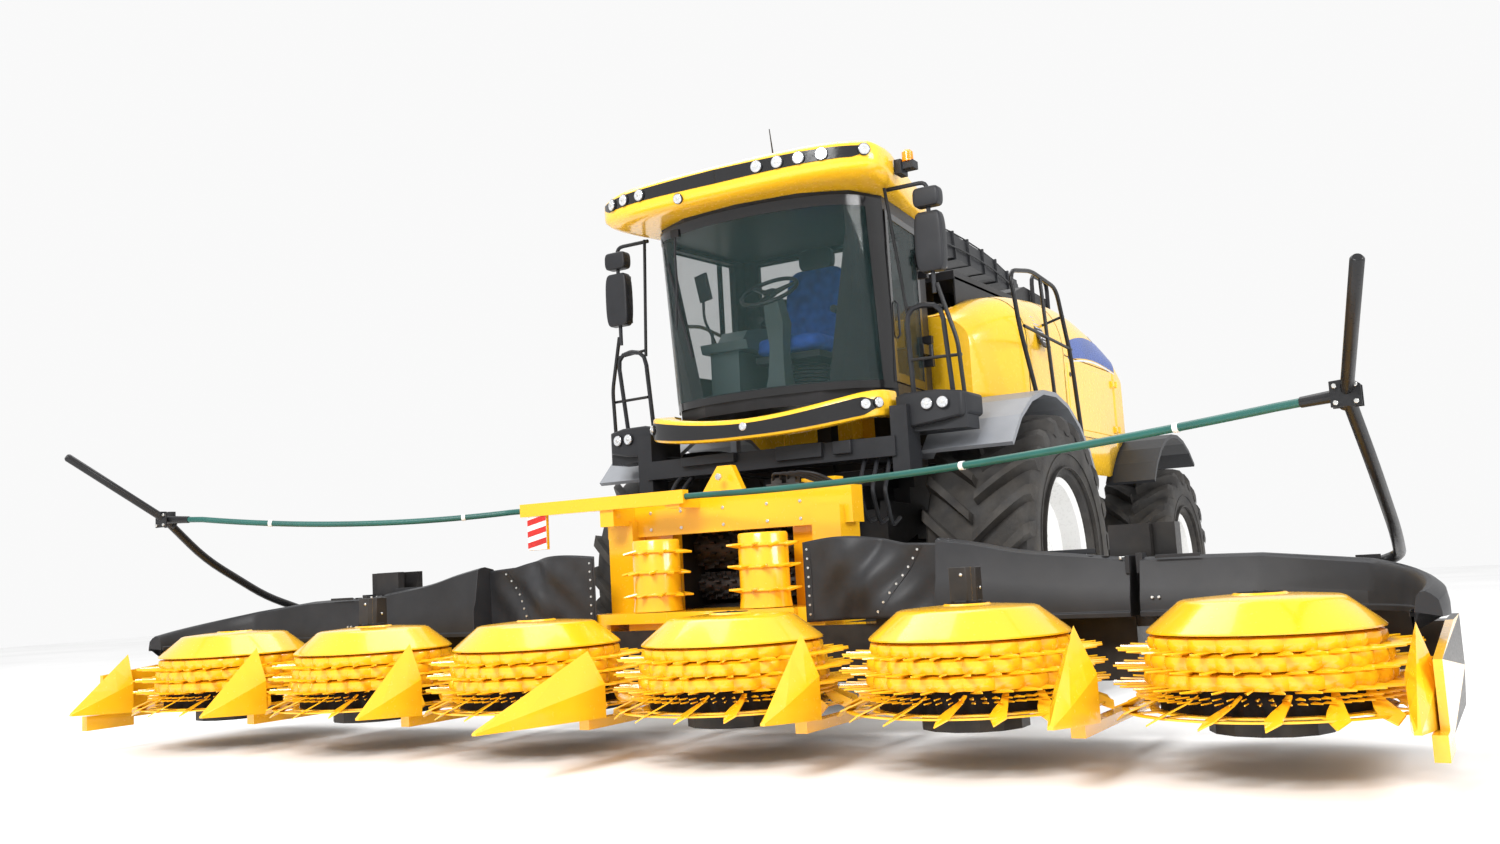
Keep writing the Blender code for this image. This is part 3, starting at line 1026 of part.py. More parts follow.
def make_spout():
    """Turret on the deck, the long arched chute that tilts on it, its flap and its lift cylinder."""
    z0 = DECK_Z + 0.12 + GAP
    turret = rod("spout_turret", (0, SPOUT_Y, z0), (0, SPOUT_Y, z0 + 0.06), 0.24, BLACK, 24)
    hinge = SPOUT_HINGE_Z
    ears = []
    for side in (1, -1):
        x = sorted((side * (SPOUT_W + RUNNING), side * (SPOUT_W + 0.03)))
        ears.append(plate(f"turret_ear_{side}", [(SPOUT_Y - 0.12, z0 + 0.03), (SPOUT_Y + 0.12, z0 + 0.03), (SPOUT_Y + 0.05, hinge + 0.05), (SPOUT_Y - 0.05, hinge + 0.05)], x[0], x[1], "YZ", BLACK))
        ears.append(rod(f"turret_pin_{side}", (side * (SPOUT_W - 0.03), SPOUT_Y, hinge), (side * (SPOUT_W + 0.04), SPOUT_Y, hinge), HINGE_R, BLACK))
    joined(turret, ears)

    def duct(grow):
        """Chute: it leaves the turret upwards, bends over and runs level to the rear."""
        w = SPOUT_W + grow
        rows = []
        for y, z, tall, turn in SPOUT_LINE:
            up = Vector((0, -math.sin(turn), math.cos(turn)))
            middle = Vector((0, SPOUT_Y + y, z))
            for_low, for_high = middle - up * (tall / 2 + grow), middle + up * (tall / 2 + grow)
            rows.append([(-w, for_low.y, for_low.z), (w, for_low.y, for_low.z), (w * 0.9, for_high.y, for_high.z), (-w * 0.9, for_high.y, for_high.z)])
        return rows

    chute = loft("spout_chute", duct(0), BLACK)
    inside = duct(-0.012)
    for row, first in ((0, 1), (-1, -2)):
        shift = (Vector(inside[row][0]) - Vector(inside[first][0])).normalized() * 0.05
        inside[row] = [tuple(Vector(point) + shift) for point in inside[row]]
    cut(chute, [loft("spout_way", inside, BLACK)])
    bores = [rod("spout_bore", (-1, SPOUT_Y, hinge), (1, SPOUT_Y, hinge), HINGE_R + PIN_FIT, BLACK)]
    bosses = [rod(f"chute_boss_{side}", (side * (SPOUT_W - 0.04), SPOUT_Y, hinge), (side * SPOUT_W, SPOUT_Y, hinge), 0.06, BLACK) for side in (1, -1)]
    joined(chute, bosses)
    cut(chute, bores)

    # Flap at the chute's end, on a pin between two lugs
    lug_reach = 0.05
    lugs = []
    for side in (1, -1):
        x = sorted((side * 0.09, side * 0.11))
        lugs.append(box(f"flap_lug_{side}", (x[0], FLAP_Y - lug_reach - 0.03, FLAP_Z - 0.05), (x[1], FLAP_Y + 0.02, FLAP_Z + 0.02), BLACK))
    lugs.append(rod("flap_pin", (-0.10, FLAP_Y, FLAP_Z), (0.10, FLAP_Y, FLAP_Z), 0.010, BLACK, 12))
    joined(chute, lugs)
    outline = [(0.0, 0.016), (0.20, -0.045), (0.34, -0.14), (0.33, -0.15), (0.19, -0.06), (0.0, -0.016)]
    flap = plate("spout_flap", [(FLAP_Y + u, FLAP_Z + v) for u, v in outline], -0.084, 0.084, "YZ", BLACK)
    knuckle = rod("flap_knuckle", (-0.084, FLAP_Y, FLAP_Z), (0.084, FLAP_Y, FLAP_Z), 0.022, BLACK, 16)
    joined(flap, [knuckle])
    cut(flap, [rod("flap_bore", (-0.2, FLAP_Y, FLAP_Z), (0.2, FLAP_Y, FLAP_Z), 0.0107, BLACK, 12)])

    # Lift cylinder on the turret's left: base pin on the turret, and the rod's eye round a pin on the chute
    base, eye = CYLINDER_BASE, CYLINDER_EYE
    x0, x1 = SPOUT_W + 0.04 + RUNNING, SPOUT_W + 0.08
    lug = box("cylinder_lug", (SPOUT_W + RUNNING, base.y - 0.04, z0 + 0.01), (x0 - RUNNING, base.y + 0.04, base.z + 0.03), BLACK)
    pin = rod("cylinder_base_pin", (SPOUT_W + 0.01, base.y, base.z), (x1, base.y, base.z), 0.012, BLACK, 12)
    joined(turret, [lug, pin])
    along = (eye - base).normalized()
    middle_x = (x0 + x1) / 2
    centre = Vector((middle_x, 0, 0))
    barrel = rod("lift_cylinder_barrel", centre + base + along * 0.02, centre + base + along * BARREL, 0.022, STEEL, 16)
    joined(barrel, [rod("barrel_eye", (x0, base.y, base.z), (x1 - 0.003, base.y, base.z), 0.03, STEEL, 16)])
    cut(barrel, [rod("barrel_bore", (0, base.y, base.z), (1, base.y, base.z), 0.0127, STEEL, 12),
                 rod("barrel_way", centre + base + along * 0.06, centre + base + along * (BARREL + 0.05), 0.0127, STEEL, 12)])
    rod_bar = rod("lift_cylinder_rod", centre + base + along * 0.10, centre + eye - along * 0.02, 0.012, STEEL, 12)
    joined(rod_bar, [rod("rod_eye", (x0, eye.y, eye.z), (x1 - 0.003, eye.y, eye.z), 0.034, STEEL, 16)])
    cut(rod_bar, [rod("rod_bore", (0, eye.y, eye.z), (1, eye.y, eye.z), 0.021, STEEL, 16)])
    joined(chute, [rod("cylinder_eye_pin", (SPOUT_W - 0.03, eye.y, eye.z), (x1 + 0.005, eye.y, eye.z), 0.009, BLACK, 12)])


SPOUT_W = 0.15
FLAP_Y, FLAP_Z = SPOUT_Y + 2.95, 3.50  # flap pin
CYLINDER_BASE = Vector((0, SPOUT_Y + 0.14, 3.09))
CYLINDER_EYE = Vector((0, SPOUT_Y + 0.75, 3.47))
BARREL = 0.48
SPOUT_LINE = (
    (0.0, 3.12, 0.26, math.radians(70)),
    (0.06, 3.26, 0.26, math.radians(60)),
    (0.24, 3.40, 0.25, math.radians(30)),
    (0.60, 3.49, 0.24, math.radians(10)),
    (1.30, 3.54, 0.22, math.radians(0)),
    (2.20, 3.50, 0.20, math.radians(-6)),
    (2.90, 3.38, 0.18, math.radians(-14)),
)


make_wheels()
make_axles()
make_chassis()
make_rotors()
make_centre()
make_mouth()
make_feeder()
make_wings()
make_covers()
make_guides()
make_cab()
make_door()
make_roof()
make_cab_inside()
make_front_trim()
make_body()
make_deck()
make_fenders()
make_platforms()
make_mirrors()
make_spout()
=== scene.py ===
# %% [markdown]
# # A forage harvester with a folding six-rotor header
# This lesson dresses a packed, jointed model of the machine. The imported model gives every moving
# body, and most pieces made here ride on one of them, so doors, rotors, wheels, folds and the
# spout keep working.

# %% Load the jointed model
from math import copysign, cos, exp, pi, radians, sin, sqrt, tau

import bpy
from mathutils import Matrix, Vector


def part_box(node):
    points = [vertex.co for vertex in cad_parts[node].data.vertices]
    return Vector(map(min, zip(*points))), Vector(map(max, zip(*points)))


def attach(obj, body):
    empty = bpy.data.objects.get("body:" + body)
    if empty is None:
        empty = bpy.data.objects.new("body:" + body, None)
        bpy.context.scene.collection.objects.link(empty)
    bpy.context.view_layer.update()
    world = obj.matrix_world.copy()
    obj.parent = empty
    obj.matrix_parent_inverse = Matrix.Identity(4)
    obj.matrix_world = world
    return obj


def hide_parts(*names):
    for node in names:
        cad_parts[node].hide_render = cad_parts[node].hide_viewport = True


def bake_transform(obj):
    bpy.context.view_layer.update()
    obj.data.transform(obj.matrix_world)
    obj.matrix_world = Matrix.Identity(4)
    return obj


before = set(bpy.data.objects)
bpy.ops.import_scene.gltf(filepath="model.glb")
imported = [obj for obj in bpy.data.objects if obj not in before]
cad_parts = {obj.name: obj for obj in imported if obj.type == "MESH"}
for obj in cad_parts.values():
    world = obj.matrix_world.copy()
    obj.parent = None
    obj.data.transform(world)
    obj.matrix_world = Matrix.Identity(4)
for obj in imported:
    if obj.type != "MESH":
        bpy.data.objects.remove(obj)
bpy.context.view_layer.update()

# %% [markdown]
# Every place below is measured from a few lines of the machine: the row of rotors, the two axles
# and the cab. They are read from the model's own boxes, so a change there moves the pieces here
# as well.

# %% Main lines of the machine
PITCH = 1.25  # metres between rotors


def middle(node):
    low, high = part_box(node)
    return (low + high) / 2


ROTOR_Y = middle("rotor_4").y
FRONT_AXLE = middle("front_wheel_left")
REAR_AXLE = middle("rear_wheel_left")
CAB_FRONT = ROTOR_Y + 1.42
CAB_REAR = ROTOR_Y + 2.58
SIDES = ((1, "left"), (-1, "right"))
print("rotor line", round(ROTOR_Y, 3), "axles", round(FRONT_AXLE.y, 3), round(REAR_AXLE.y, 3))


def at(y):
    """A place along the machine, measured back from the rotor line."""
    return ROTOR_Y + y


# %% [markdown]
# The camera stands low by the machine's front left corner and looks slightly up, so the header
# spreads across the view. Its axes are written out from three angles, because the horizon is
# tipped a little.

# %% Camera
AZIMUTH, PITCH_UP, ROLL = radians(30.53), radians(6.455), radians(-3.204)
FOCAL, SENSOR = 31.42, 36  # millimetres
EYE = (4.096, at(-5.593), 0.912)
right = Vector((cos(AZIMUTH), sin(AZIMUTH), 0))
ahead = Vector((-sin(AZIMUTH) * cos(PITCH_UP), cos(AZIMUTH) * cos(PITCH_UP), sin(PITCH_UP)))
upward = right.cross(ahead)
camera_x = right * cos(ROLL) + upward * sin(ROLL)
camera_y = upward * cos(ROLL) - right * sin(ROLL)
camera = bpy.data.objects.new("camera", bpy.data.cameras.new("camera"))
bpy.context.scene.collection.objects.link(camera)
camera.data.lens, camera.data.sensor_width = FOCAL, SENSOR
camera.data.clip_end = 200
camera.matrix_world = Matrix.Translation(EYE) @ Matrix(
    (camera_x, camera_y, -ahead)
).transposed().to_4x4()
bpy.context.scene.camera = camera
print("camera looks along", [round(v, 3) for v in ahead])

# %% [markdown]
# A machine this glossy needs large soft lamps: what they draw on the domes and on the glass is
# what makes the paint look like paint. A pale floor and a pale world stand for a studio.

# %% Studio
def soft_lamp(name, place, aim, size, power):
    lamp = bpy.data.objects.new(name, bpy.data.lights.new(name, "AREA"))
    lamp.data.shape, lamp.data.size, lamp.data.size_y = "RECTANGLE", size[0], size[1]
    lamp.data.energy = power
    lamp.location = place
    lamp.rotation_mode = "QUATERNION"
    lamp.rotation_quaternion = (Vector(aim) - Vector(place)).to_track_quat("-Z", "Y")
    bpy.context.scene.collection.objects.link(lamp)


soft_lamp("key_lamp", (1.0, -12.0, 8.5), (0, -1, 1.2), (5, 3), 1300)
soft_lamp("side_lamp", (12.0, -3.0, 6.0), (0, 0, 1.4), (6, 3), 700)
soft_lamp("top_lamp", (-3.0, 1.0, 11.0), (0, 0, 1), (8, 8), 700)
SKY_STRENGTH = 0.95
world = bpy.data.worlds.new("studio")
world.use_nodes = True
world.node_tree.nodes["Background"].inputs["Color"].default_value = (1.0, 1.0, 1.0, 1)
world.node_tree.nodes["Background"].inputs["Strength"].default_value = SKY_STRENGTH
bpy.context.scene.world = world
bpy.context.scene.view_settings.view_transform = "Standard"

# %% [markdown]
# A machine is hundreds of simple bodies. Each shape below is a plain pair, its points and its
# faces, so shapes can be moved, copied and put together as lists before Blender turns them into
# one mesh.

# %% Shapes: blocks, prisms and turned bodies
def block(low, high):
    x0, y0, z0 = low
    x1, y1, z1 = high
    points = [Vector((x, y, z)) for z in (z0, z1) for x, y in ((x0, y0), (x1, y0), (x1, y1),
            (x0, y1))]
    faces = [(3, 2, 1, 0), (4, 5, 6, 7)] + [(i, (i + 1) % 4, (i + 1) % 4 + 4, i + 4)
        for i in range(4)]
    return points, faces


def rings(rows, closed_ends=True, loop=False):
    """Skin over rows of points. Each row is a ring; loop joins the last row to the first."""
    size = len(rows[0])
    points = [Vector(p) for row in rows for p in row]
    faces = []
    for i in range(len(rows) - (0 if loop else 1)):
        a, b = i * size, (i + 1) % len(rows) * size
        faces += [(a + j, a + (j + 1) % size, b + (j + 1) % size, b + j) for j in range(size)]
    if closed_ends and not loop:
        faces += [tuple(reversed(range(size))),
            tuple(range((len(rows) - 1) * size, len(rows) * size))]
    return points, faces


ORIGIN = (0, 0, 0)
PLANES = {"Z": lambda u, v, w: (u, v, w), "X": lambda u, v, w: (w, u, v), "Y": lambda u, v,
    w: (u, w, v)}


def prism(outline, low, high, axis):
    """A flat outline pushed along an axis: (x, y) along Z, (y, z) along X, (x, z) along Y."""
    put = PLANES[axis]
    return rings([[put(u, v, w) for u, v in outline] for w in (low, high)])


def turned(profile, centre, axis="Z", sides=48, wave=None, loop=False):
    """A profile of (radius, height) turned about an axis. wave(angle, k) changes row k's radius."""
    put, rows = PLANES[axis], []
    for k, (radius, height) in enumerate(profile):
        row = []
        for i in range(sides):
            angle = tau * i / sides
            r = radius + (wave(angle, k) if wave else 0)
            row.append(Vector(centre) + Vector(put(r * cos(angle), r * sin(angle), height)))
        rows.append(row)
    return rings(rows, loop=loop)


# %% [markdown]
# Hoses, rails and posts are bars along a path. Each ring of a bar is turned as little as it can
# be from the ring before it, which keeps the bar from twisting, and a path's corners can be
# rounded first.

# %% Shapes: tubes, discs and copies
def rounded(corners, radius, steps=4):
    """A path through corners, each turned on an arc."""
    path = [Vector(corners[0])]
    for before, here, after in zip(corners, corners[1:], corners[2:]):
        here = Vector(here)
        a, b = Vector(before) - here, Vector(after) - here
        reach = min(radius, a.length * 0.45, b.length * 0.45)
        p, q = here + a.normalized() * reach, here + b.normalized() * reach
        for s in range(steps + 1):
            t = s / steps
            path.append(p * (1 - t) ** 2 + here * 2 * t * (1 - t) + q * t * t)
    return path + [Vector(corners[-1])]


def tube(path, radius, sides=10, bend=0.0):
    """A round bar along a path. radius is one number, or one for each point."""
    path = rounded(path, bend) if bend else [Vector(p) for p in path]
    radii = [radius] * len(path) if isinstance(radius, (int, float)) else radius
    rows, normal = [], None
    for i, point in enumerate(path):
        along = (path[min(i + 1, len(path) - 1)] - path[max(i - 1, 0)]).normalized()
        if normal is None:
            normal = along.orthogonal().normalized()
        normal = (normal - along * normal.dot(along)).normalized()
        other = along.cross(normal)
        rows.append([point + (normal * cos(tau * j / sides) + other * sin(tau * j / sides)) * radii[
                    i] for j in range(sides)])
    return rings(rows)


def disc(centre, facing, radius, thick, sides=24):
    """A flat round body, such as a lamp or a bolt's head, standing out from centre along facing."""
    facing = Vector(facing).normalized()
    return tube([Vector(centre) - facing * 0.002, Vector(centre) + facing * thick], radius, sides)


def shift(place):
    return Matrix.Translation(place)


def spin(angle, axis):
    return Matrix.Rotation(angle, 4, axis)


def moved(shape, matrix):
    return [matrix @ p for p in shape[0]], shape[1]


def flipped(shape):
    """The same shape on the machine's other side."""
    return [Vector((-p.x, p.y, p.z)) for p in shape[0]], [tuple(reversed(f)) for f in shape[1]]


def on_side(side, shape):
    return shape if side > 0 else flipped(shape)


def sided(side, shapes):
    return [on_side(side, shape) for shape in shapes]


# %% [markdown]
# A piece is one mesh with one or more materials, riding on one body of the model. Smooth shading
# with sharp creases suits pressed and moulded parts, and a small bevel catches the light along
# edges as real ones do.

# %% From shapes to a piece
def soften(made, width, corner):
    """Round each edge that turns by more than corner degrees."""
    edge = made.modifiers.new("edges", "BEVEL")
    edge.width, edge.segments = width, 2
    edge.limit_method, edge.angle_limit = "ANGLE", radians(corner)


def piece(name, body, groups, bevel=0.0, crease=35, stands_for=()):
    """groups is a list of (material, list of shapes)."""
    mesh = bpy.data.meshes.new(name)
    points, faces, marks = [], [], []
    for index, (material, shapes) in enumerate(groups):
        mesh.materials.append(material)
        for shape_points, shape_faces in shapes:
            start = len(points)
            points += shape_points
            faces += [tuple(start + i for i in face) for face in shape_faces]
            marks += [index] * len(shape_faces)
    mesh.from_pydata(points, [], faces)
    mesh.polygons.foreach_set("material_index", marks)
    mesh.polygons.foreach_set("use_smooth", [True] * len(marks))
    mesh.set_sharp_from_angle(angle=radians(crease))
    made = bpy.data.objects.new(name, mesh)
    bpy.context.scene.collection.objects.link(made)
    if bevel:
        soften(made, bevel, 35)
    if body:
        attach(made, body)
    if stands_for:
        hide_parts(*stands_for)
    return made


# %% [markdown]
# Paint is never one flat colour. Each finish starts from a colour and adds what age and weather
# do to it: slow changes of tone, a fine bump, uneven gloss, and dust that gathers low on the
# machine.

# %% Finishes
DUST = (0.33, 0.27, 0.19, 1)


def finish(name, colour, roughness, metallic=0.0, mottle=0.08, scale=3.0, bump=0.05, grain=120.0,
    dust=0.0, dust_top=1.0, coat=0.0, bright=None, edge=None):
    material = bpy.data.materials.new(name)
    material.use_nodes = True
    nodes, links = material.node_tree.nodes, material.node_tree.links
    shader = nodes["Principled BSDF"]
    shader.inputs["Metallic"].default_value = metallic
    shader.inputs["Coat Weight"].default_value = coat
    shader.inputs["Coat Roughness"].default_value = 0.06
    place = nodes.new("ShaderNodeTexCoord").outputs["Object"]

    def noise(size, detail=3.0):
        node = nodes.new("ShaderNodeTexNoise")
        node.inputs["Scale"].default_value, node.inputs["Detail"].default_value = size, detail
        links.new(place, node.inputs["Vector"])
        return node.outputs["Fac"]

    def blend_colour(share, first, second):
        node = nodes.new("ShaderNodeMix")
        node.data_type = "RGBA"
        for socket, value in ((node.inputs[6], first), (node.inputs[7], second)):
            if isinstance(value, tuple):
                socket.default_value = value
            else:
                links.new(value, socket)
        links.new(share, node.inputs[0])
        return node.outputs[2]

    def stretch(value, low, high, to_low, to_high):
        node = nodes.new("ShaderNodeMapRange")
        for i, number in enumerate((low, high, to_low, to_high)):
            node.inputs[i + 1].default_value = number
        links.new(value, node.inputs[0])
        return node.outputs[0]

    dark = tuple(c * (1 - mottle) for c in colour) + (1,)
    light = bright + (1,) if bright else tuple(min(1, c * (1 + mottle)) for c in colour) + (1,)
    slow = noise(scale)
    shade = blend_colour(stretch(slow, 0.35, 0.65, 0, 1), dark, light)
    if edge:
        sharp = stretch(nodes.new("ShaderNodeNewGeometry").outputs["Pointiness"], 0.52, 0.60, 0,
            0.6)
        shade = blend_colour(sharp, shade, edge + (1,))
    if dust:
        split = nodes.new("ShaderNodeSeparateXYZ")
        links.new(place, split.inputs[0])
        height = stretch(split.outputs[2], 0.0, dust_top, dust, 0)
        times = nodes.new("ShaderNodeMath")
        times.operation = "MULTIPLY"
        links.new(height, times.inputs[0])
        links.new(stretch(noise(9.0, 6.0), 0.3, 0.7, 0.2, 1.0), times.inputs[1])
        shade = blend_colour(times.outputs[0], shade, DUST)
    links.new(shade, shader.inputs["Base Color"])
    fine = noise(grain, 2.0)
    links.new(stretch(fine, 0.3, 0.7, max(0.02, roughness - 0.06), min(1, roughness + 0.06)),
        shader.inputs["Roughness"])
    if bump:
        relief = nodes.new("ShaderNodeBump")
        relief.inputs["Strength"].default_value, relief.inputs[
            "Distance"].default_value = bump, 0.002
        links.new(fine, relief.inputs["Height"])
        links.new(relief.outputs["Normal"], shader.inputs["Normal"])
    return material


YELLOW = finish("yellow_gloss_paint", (0.90, 0.47, 0.008), 0.22, mottle=0.05, scale=1.2, bump=0.03,
    grain=40, dust=0.10, dust_top=0.5, coat=0.5)
# A lighter copy of the same yellow for the body, roof and front band: the extra lightness is
# painted light, standing for the bright light on these parts.
PAINTED_LIGHT_YELLOW = finish("yellow_with_painted_light", (0.92, 0.53, 0.02), 0.24, mottle=0.03, scale=0.7, bump=0.02,
    grain=30, coat=0.5)
BLACK = finish("black_chassis_paint", (0.016, 0.016, 0.018), 0.38, mottle=0.25, scale=4, bump=0.08,
    grain=90, dust=0.12, dust_top=1.6)
MOULDED = finish("black_moulded_plastic", (0.021, 0.022, 0.025), 0.42, mottle=0.12, scale=5,
    bump=0.25, grain=420, dust=0.05, dust_top=1.2)
GREY = finish("grey_moulded_plastic", (0.20, 0.21, 0.23), 0.42, mottle=0.08, scale=4, bump=0.2,
    grain=420)
RUBBER = finish("tyre_rubber", (0.022, 0.022, 0.024), 0.62, mottle=0.3, scale=6, bump=0.4, grain=70,
    dust=0.10, dust_top=1.9, bright=(0.035, 0.035, 0.036))
RIM = finish("white_rim_paint", (0.80, 0.80, 0.79), 0.3, mottle=0.03, scale=4, bump=0.03, grain=60,
    dust=0.08, dust_top=0.9, coat=0.3)
STEEL = finish("worn_steel", (0.30, 0.29, 0.28), 0.35, metallic=0.85, mottle=0.25, scale=14,
    bump=0.1, grain=160)
DARK_STEEL = finish("dark_roll_steel", (0.05, 0.045, 0.042), 0.45, metallic=0.6, mottle=0.35,
    scale=14, bump=0.15, grain=140)
ZINC = finish("zinc_bolt", (0.62, 0.62, 0.60), 0.3, metallic=0.9, mottle=0.1, scale=40, bump=0.03)
# Near black: the dark caps and panel joints, and painted shade where it fills the rotors' insides
# and the covers' oval holes.
NEAR_BLACK_AND_SHADE = finish("near_black_and_painted_shade", (0.006, 0.005, 0.005), 0.8, mottle=0.1)


def set_socket(material, socket, value):
    material.node_tree.nodes["Principled BSDF"].inputs[socket].default_value = value


for soft_black in (BLACK, MOULDED, RUBBER, NEAR_BLACK_AND_SHADE):
    set_socket(soft_black, "Specular IOR Level", 0.22)
print(len(bpy.data.materials), "finishes so far")

# %% [markdown]
# A crop rotor is a yellow bell. Under its cone lie wavy drums that hold the stalks, rings of long
# teeth that pull them in, and at the bottom a ring of hooked blades. One mesh is built around the
# axis and copied to six places.

# %% A crop rotor's bell and wavy drums
ROTOR_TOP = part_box("rotor_4")[1].z
LOBES = 22  # waves round a drum


def ripple(depth):
    return lambda angle, k: depth * abs(sin(angle * LOBES / 2)) if 0 < k < 5 else 0.0


def bell():
    profile = [(0.078, ROTOR_TOP - 0.10), (0.078, ROTOR_TOP + 0.006), (0.102, ROTOR_TOP + 0.006),
        (0.110, ROTOR_TOP - 0.001), (0.150, ROTOR_TOP - 0.001), (0.30, ROTOR_TOP - 0.012),
        (0.318, ROTOR_TOP - 0.018), (0.328, ROTOR_TOP - 0.027), (0.440, ROTOR_TOP - 0.118),
        (0.452, ROTOR_TOP - 0.130), (0.452, ROTOR_TOP - 0.137), (0.40, ROTOR_TOP - 0.142)]
    return turned(profile, ORIGIN, sides=96)


def wavy_drum(radius, low, high):
    rise = high - low
    profile = [(radius - 0.06, low - 0.004), (radius - 0.012, low),
        (radius - 0.002, low + rise * 0.25), (radius, low + rise * 0.5),
        (radius - 0.004, low + rise * 0.8), (radius - 0.06, high + 0.006)]
    return turned(profile, ORIGIN, sides=LOBES * 8, wave=ripple(0.022))


# %% [markdown]
# A tooth is a thin pointed plate that leans back against the turn. Copies round the ring only
# differ in their angle, so a rotation matrix for each of them is all it takes.

# %% Its teeth and hooked blades
DRUMS = ((0.430, 0.505, 0.566), (0.448, 0.435, 0.500), (0.455, 0.365, 0.430))  # radius, foot, top
# height, reach, count, turn
LONG_TEETH = ((0.500, 0.575, 30, 0.0), (0.432, 0.592, 30, 0.07), (0.362, 0.598, 30, 0.14))
SHORT_TEETH = (0.335, 0.318)  # heights of the two fine rings
BLADES = 16


def around(shape, count, turn=0.0):
    return [moved(shape, spin(turn + tau * i / count, "Z")) for i in range(count)]


def tooth(inner, outer, z, wide, lean, thick=0.006):
    outline = [(inner, -wide / 2), (inner, wide / 2),
        ((inner + outer) / 2, wide * 0.30 + lean * 0.4), (outer, lean + 0.002),
        (outer, lean - 0.002), ((inner + outer) / 2, -wide * 0.22 + lean * 0.4)]
    flat = prism(outline, -thick / 2, thick / 2, "Z")
    return moved(flat, shift((0, 0, z)) @ spin(0.38, "X"))


def hooked_blade():
    """Rises at the drum, bends and ends in a broad point that reaches out and down."""
    spine = [(0.43, 0.02, 0.345), (0.47, 0.00, 0.318), (0.52, -0.035, 0.290),
        (0.565, -0.060, 0.268), (0.604, -0.092, 0.240)]
    widths = (0.026, 0.034, 0.060, 0.074, 0.004)
    rows = []
    for (x, y, z), w in zip(spine, widths):
        rows.append([(x - w * 0.5, y - w * 0.35, z - 0.003), (x + w * 0.5, y + w * 0.35, z - 0.003),
                (x + w * 0.5, y + w * 0.35, z + 0.004), (x - w * 0.5, y - w * 0.35, z + 0.004)])
    return rings(rows)


def blade_ring():
    """The flat ring that carries the blades, with the oval windows between them."""
    shapes = []
    for inner, outer in ((0.425, 0.462), (0.545, 0.572)):
        shapes.append(turned([(inner, 0.262), (outer, 0.262), (outer, 0.270), (inner, 0.270)],
                ORIGIN, sides=96, loop=True))
    bar = prism([(0.455, -0.022), (0.50, -0.012), (0.55, -0.030), (0.55, 0.018), (0.50, 0.010),
            (0.455, 0.024)], 0.2625, 0.2695, "Z")
    return shapes + around(bar, BLADES)


def rotor_shapes():
    shapes = [bell()] + [wavy_drum(*row) for row in DRUMS]
    for z, outer, count, turn in LONG_TEETH:
        shapes += around(tooth(0.42, outer, z, 0.042, 0.026, 0.007), count, turn)
    for z in SHORT_TEETH:
        shapes += around(tooth(0.44, 0.512, z, 0.018, 0.008, 0.005), 60, z * 30)
    return shapes + blade_ring() + around(hooked_blade(), BLADES, 0.1)


first_rotor = None
for number in range(1, 7):
    spot = shift((middle(f"rotor_{number}").x, ROTOR_Y, 0)) @ spin(number * 0.03, "Z")
    if first_rotor is None:
        # A near-black ring inside the blade ring, under the drums: painted shade inside the rotor.
        core = [turned([(0.05, 0.265), (0.42, 0.265), (0.42, 0.36), (0.05, 0.36)], ORIGIN, sides=48,
                loop=True)]
        made = piece(f"crop_rotor_{number}", None, [(YELLOW, rotor_shapes()), (NEAR_BLACK_AND_SHADE, core)],
            crease=32)
        first_rotor = made
    else:
        made = bpy.data.objects.new(f"crop_rotor_{number}", first_rotor.data)
        bpy.context.scene.collection.objects.link(made)
    made.matrix_world = spot
    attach(made, f"rotor_{number}")
    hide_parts(f"rotor_{number}")
print("one rotor has", len(first_rotor.data.polygons), "faces")

# %% [markdown]
# The rotors on the inner wings carry a black rest bracket, on which the outer wing lies when it's
# folded over. It's a bent sheet, so its front corner is cut, and one pale bolt holds it.

# %% Rest brackets and hub caps
for side, label in SIDES:
    x = side * 1.5 * PITCH
    outline = [(x - 0.056, at(-0.056)), (x + 0.03, at(-0.066)), (x + 0.062, at(-0.03)),
        (x + 0.056, at(0.058)), (x - 0.056, at(0.058))]
    sleeve = prism(outline, ROTOR_TOP + 0.012, 0.874, "Z")
    foot = turned([(0.03, ROTOR_TOP - 0.02), (0.068, ROTOR_TOP - 0.02), (0.068, ROTOR_TOP + 0.02),
            (0.03, ROTOR_TOP + 0.02)], (x, ROTOR_Y, 0), sides=24, loop=True)
    bolts = [disc((x + 0.005, at(-0.062), 0.84), (0.1, -1, 0), 0.008, 0.006),
        disc((x + 0.062, at(0.01), 0.78), (1, 0, 0), 0.007, 0.006)]
    piece(f"rest_bracket_{label}", f"inner_wing_{label}", [(BLACK, [sleeve, foot]), (ZINC, bolts)],
        bevel=0.004)

# %% [markdown]
# The header's frames, snouts and gearbox arms already have their true shape in the model. They
# only need a paint and slightly rounded edges, which a Bevel modifier gives without touching the
# mesh itself.

# %% Paint for the model's own parts
def dress(node, material, bevel=0.003):
    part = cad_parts[node]
    part.data.materials.clear()
    part.data.materials.append(material)
    if bevel:
        soften(part, bevel, 30)


